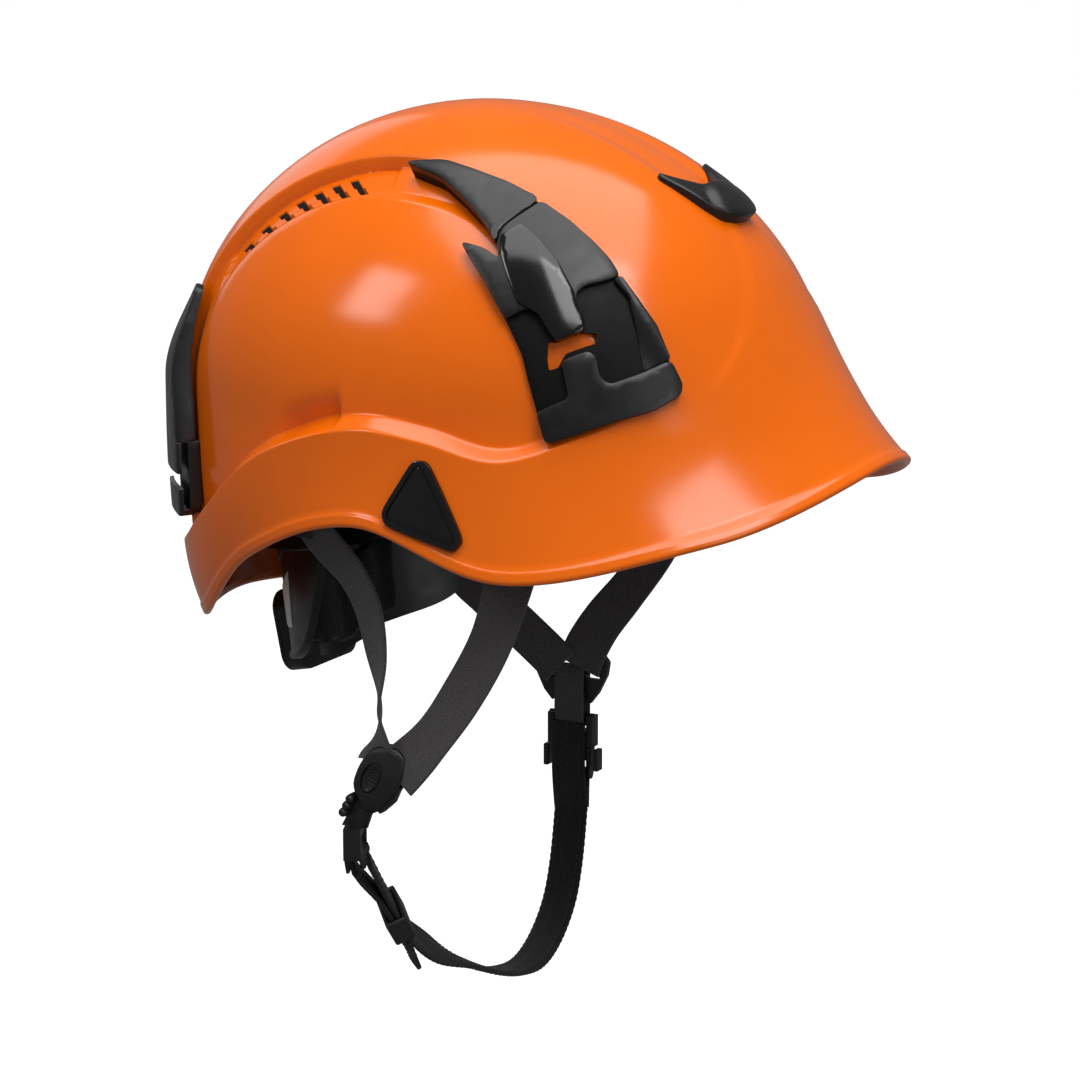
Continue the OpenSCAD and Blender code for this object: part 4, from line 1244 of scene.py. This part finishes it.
def crown_form():
    profile = [(2, 94.2), (20, 93.6), (33, 91.4), (37, 91.6), (37, 93), (30, 95), (16, 97.2), (2, 98)]
    count = 48
    verts = []
    for r, z in profile:
        verts += [(r * math.cos(2 * math.pi * i / count), r * math.sin(2 * math.pi * i / count), z)
                  for i in range(count)]
    return loose("crown_cushion", verts, tube_faces(len(profile), count))


crown = swell(crown_form(), 2.2, 2.0, 0.8)
dress(crown, "helmet", PAD_MESH, ["crown_pad"])


# depth of the liner's outer face, lower edge and inner face below the shell's plain surface
LINER_OUT = 5.9
LINER_EDGE = 8.2
LINER_IN = 10.5


def build_liner():
    columns = 120
    rows = 26
    a = np.arange(columns) * 360.0 / columns
    low = fall_at(np.full(columns, 56.0))
    rings = [surf_out(a, low * j / rows, np.full(columns, -LINER_OUT)) for j in range(1, rows + 1)]
    edge = surf_out(a, low, np.full(columns, -LINER_EDGE))
    edge[:, 2] -= 1.6
    rings.append(edge)
    rings += [surf_out(a, low * j / rows, np.full(columns, -LINER_IN)) for j in range(rows, 0, -1)]
    points, faces = bowl(rings, CROWN_Z - LINER_OUT, CROWN_Z - LINER_IN)
    new_piece("foam_liner", points, faces, "helmet", FOAM_BLACK, ["impact_liner"], sharp=50)


build_liner()

# cradle ribbons over the crown
RIBBON_R = (93.2, 92.0)


def ribbon_stops(side):
    top = 53 if side > 0 else 51
    stops = [((0, -RIBBON_R[0], 39), (0, -1, 0))]
    for s in range(-90, 91, 15):
        r = RIBBON_R[0] if s < 0 else RIBBON_R[1]
        t = math.radians(s)
        stops.append(((0, r * math.sin(t) * (1 - 0.075 * math.cos(t)), 50 + top * math.cos(t)),
                      (0, math.sin(t), math.cos(t))))
    stops.append(((0, RIBBON_R[1], 39), (0, 1, 0)))
    turn = Matrix.Rotation(math.radians(side * 48), 3, "Z")
    return [(tuple(turn @ Vector(p)), tuple(turn @ Vector(f))) for p, f in stops]


strap("cradle_webbing_a", ribbon_stops(1), 18.0, 1.2, "helmet", WEBBING, ["cradle_ribbons"],
      pitch=2.0)
strap("cradle_webbing_b", ribbon_stops(-1), 18.0, 1.2, "helmet", WEBBING, (), pitch=2.0)

# ---- floor, light and camera ----
FLOOR_Z = -0.30
FLOOR_HALF = 6
floor_mesh = bpy.data.meshes.new("floor")
corners = [(FLOOR_HALF * x, FLOOR_HALF * y, FLOOR_Z) for x, y in ((-1, -1), (1, -1), (1, 1), (-1, 1))]
floor_mesh.from_pydata(corners, [], [(0, 1, 2, 3)])
floor = bpy.data.objects.new("floor", floor_mesh)
bpy.context.scene.collection.objects.link(floor)
floor_paint = paint("floor_paper", (0.25, 0.25, 0.25), 0.9, mottle=0.0, grain_depth=0.0, specular=0.0)
floor_paint.node_tree.nodes["Principled BSDF"].inputs["Emission Color"].default_value = (1, 1, 1, 1)
floor_paint.node_tree.nodes["Principled BSDF"].inputs["Emission Strength"].default_value = 0.97
floor_mesh.materials.append(floor_paint)
floor.visible_glossy = False
floor.visible_diffuse = False

world = bpy.data.worlds.new("studio")
bpy.context.scene.world = world
world.use_nodes = True
tree = world.node_tree
tree.nodes["Background"].inputs["Color"].default_value = (1, 1, 1, 1)
# the studio is dim in reflections, and its backdrop is white
backdrop = tree.nodes.new("ShaderNodeLightPath")
level = new_node(tree, "MapRange", To_Min=0.2, To_Max=1.0)
tree.links.new(backdrop.outputs["Is Camera Ray"], level.inputs["Value"])
tree.links.new(level.outputs["Result"], tree.nodes["Background"].inputs["Strength"])


def softbox(name, place, aim, size, power):
    light = bpy.data.lights.new(name, "AREA")
    light.shape = "RECTANGLE"
    light.size, light.size_y = size
    light.energy = power
    obj = bpy.data.objects.new(name, light)
    obj.location = place
    obj.rotation_euler = (Vector(aim) - Vector(place)).to_track_quat("-Z", "Y").to_euler()
    bpy.context.scene.collection.objects.link(obj)
    return obj


softbox("overhead", (-0.2, -0.1, 1.5), (0, 0, 0), (1.5, 1.5), 24)
softbox("key", (-0.95, -0.95, 1.45), (0, 0, 0), (0.8, 0.8), 12)
softbox("fill", (-1.05, 0.72, 0.82), (0, 0, 0), (0.3, 0.5), 3)
softbox("front", (-0.9, -1.5, 0.1), (0, 0, 0), (0.5, 1.2), 4)
softbox("rim", (0.8, 1.3, 0.6), (0, 0, 0), (1.0, 0.8), 1.5)

camera_data = bpy.data.cameras.new("camera")
camera_data.lens = 116.7
camera_data.sensor_width = 36
camera = bpy.data.objects.new("camera", camera_data)
camera.location = (-1.209, -0.664, 0.246)
camera.rotation_euler = (Vector((0, -0.0212, -0.0447)) - camera.location).to_track_quat("-Z", "Y").to_euler()
bpy.context.scene.collection.objects.link(camera)
bpy.context.scene.camera = camera
bpy.context.scene.view_settings.view_transform = "Standard"
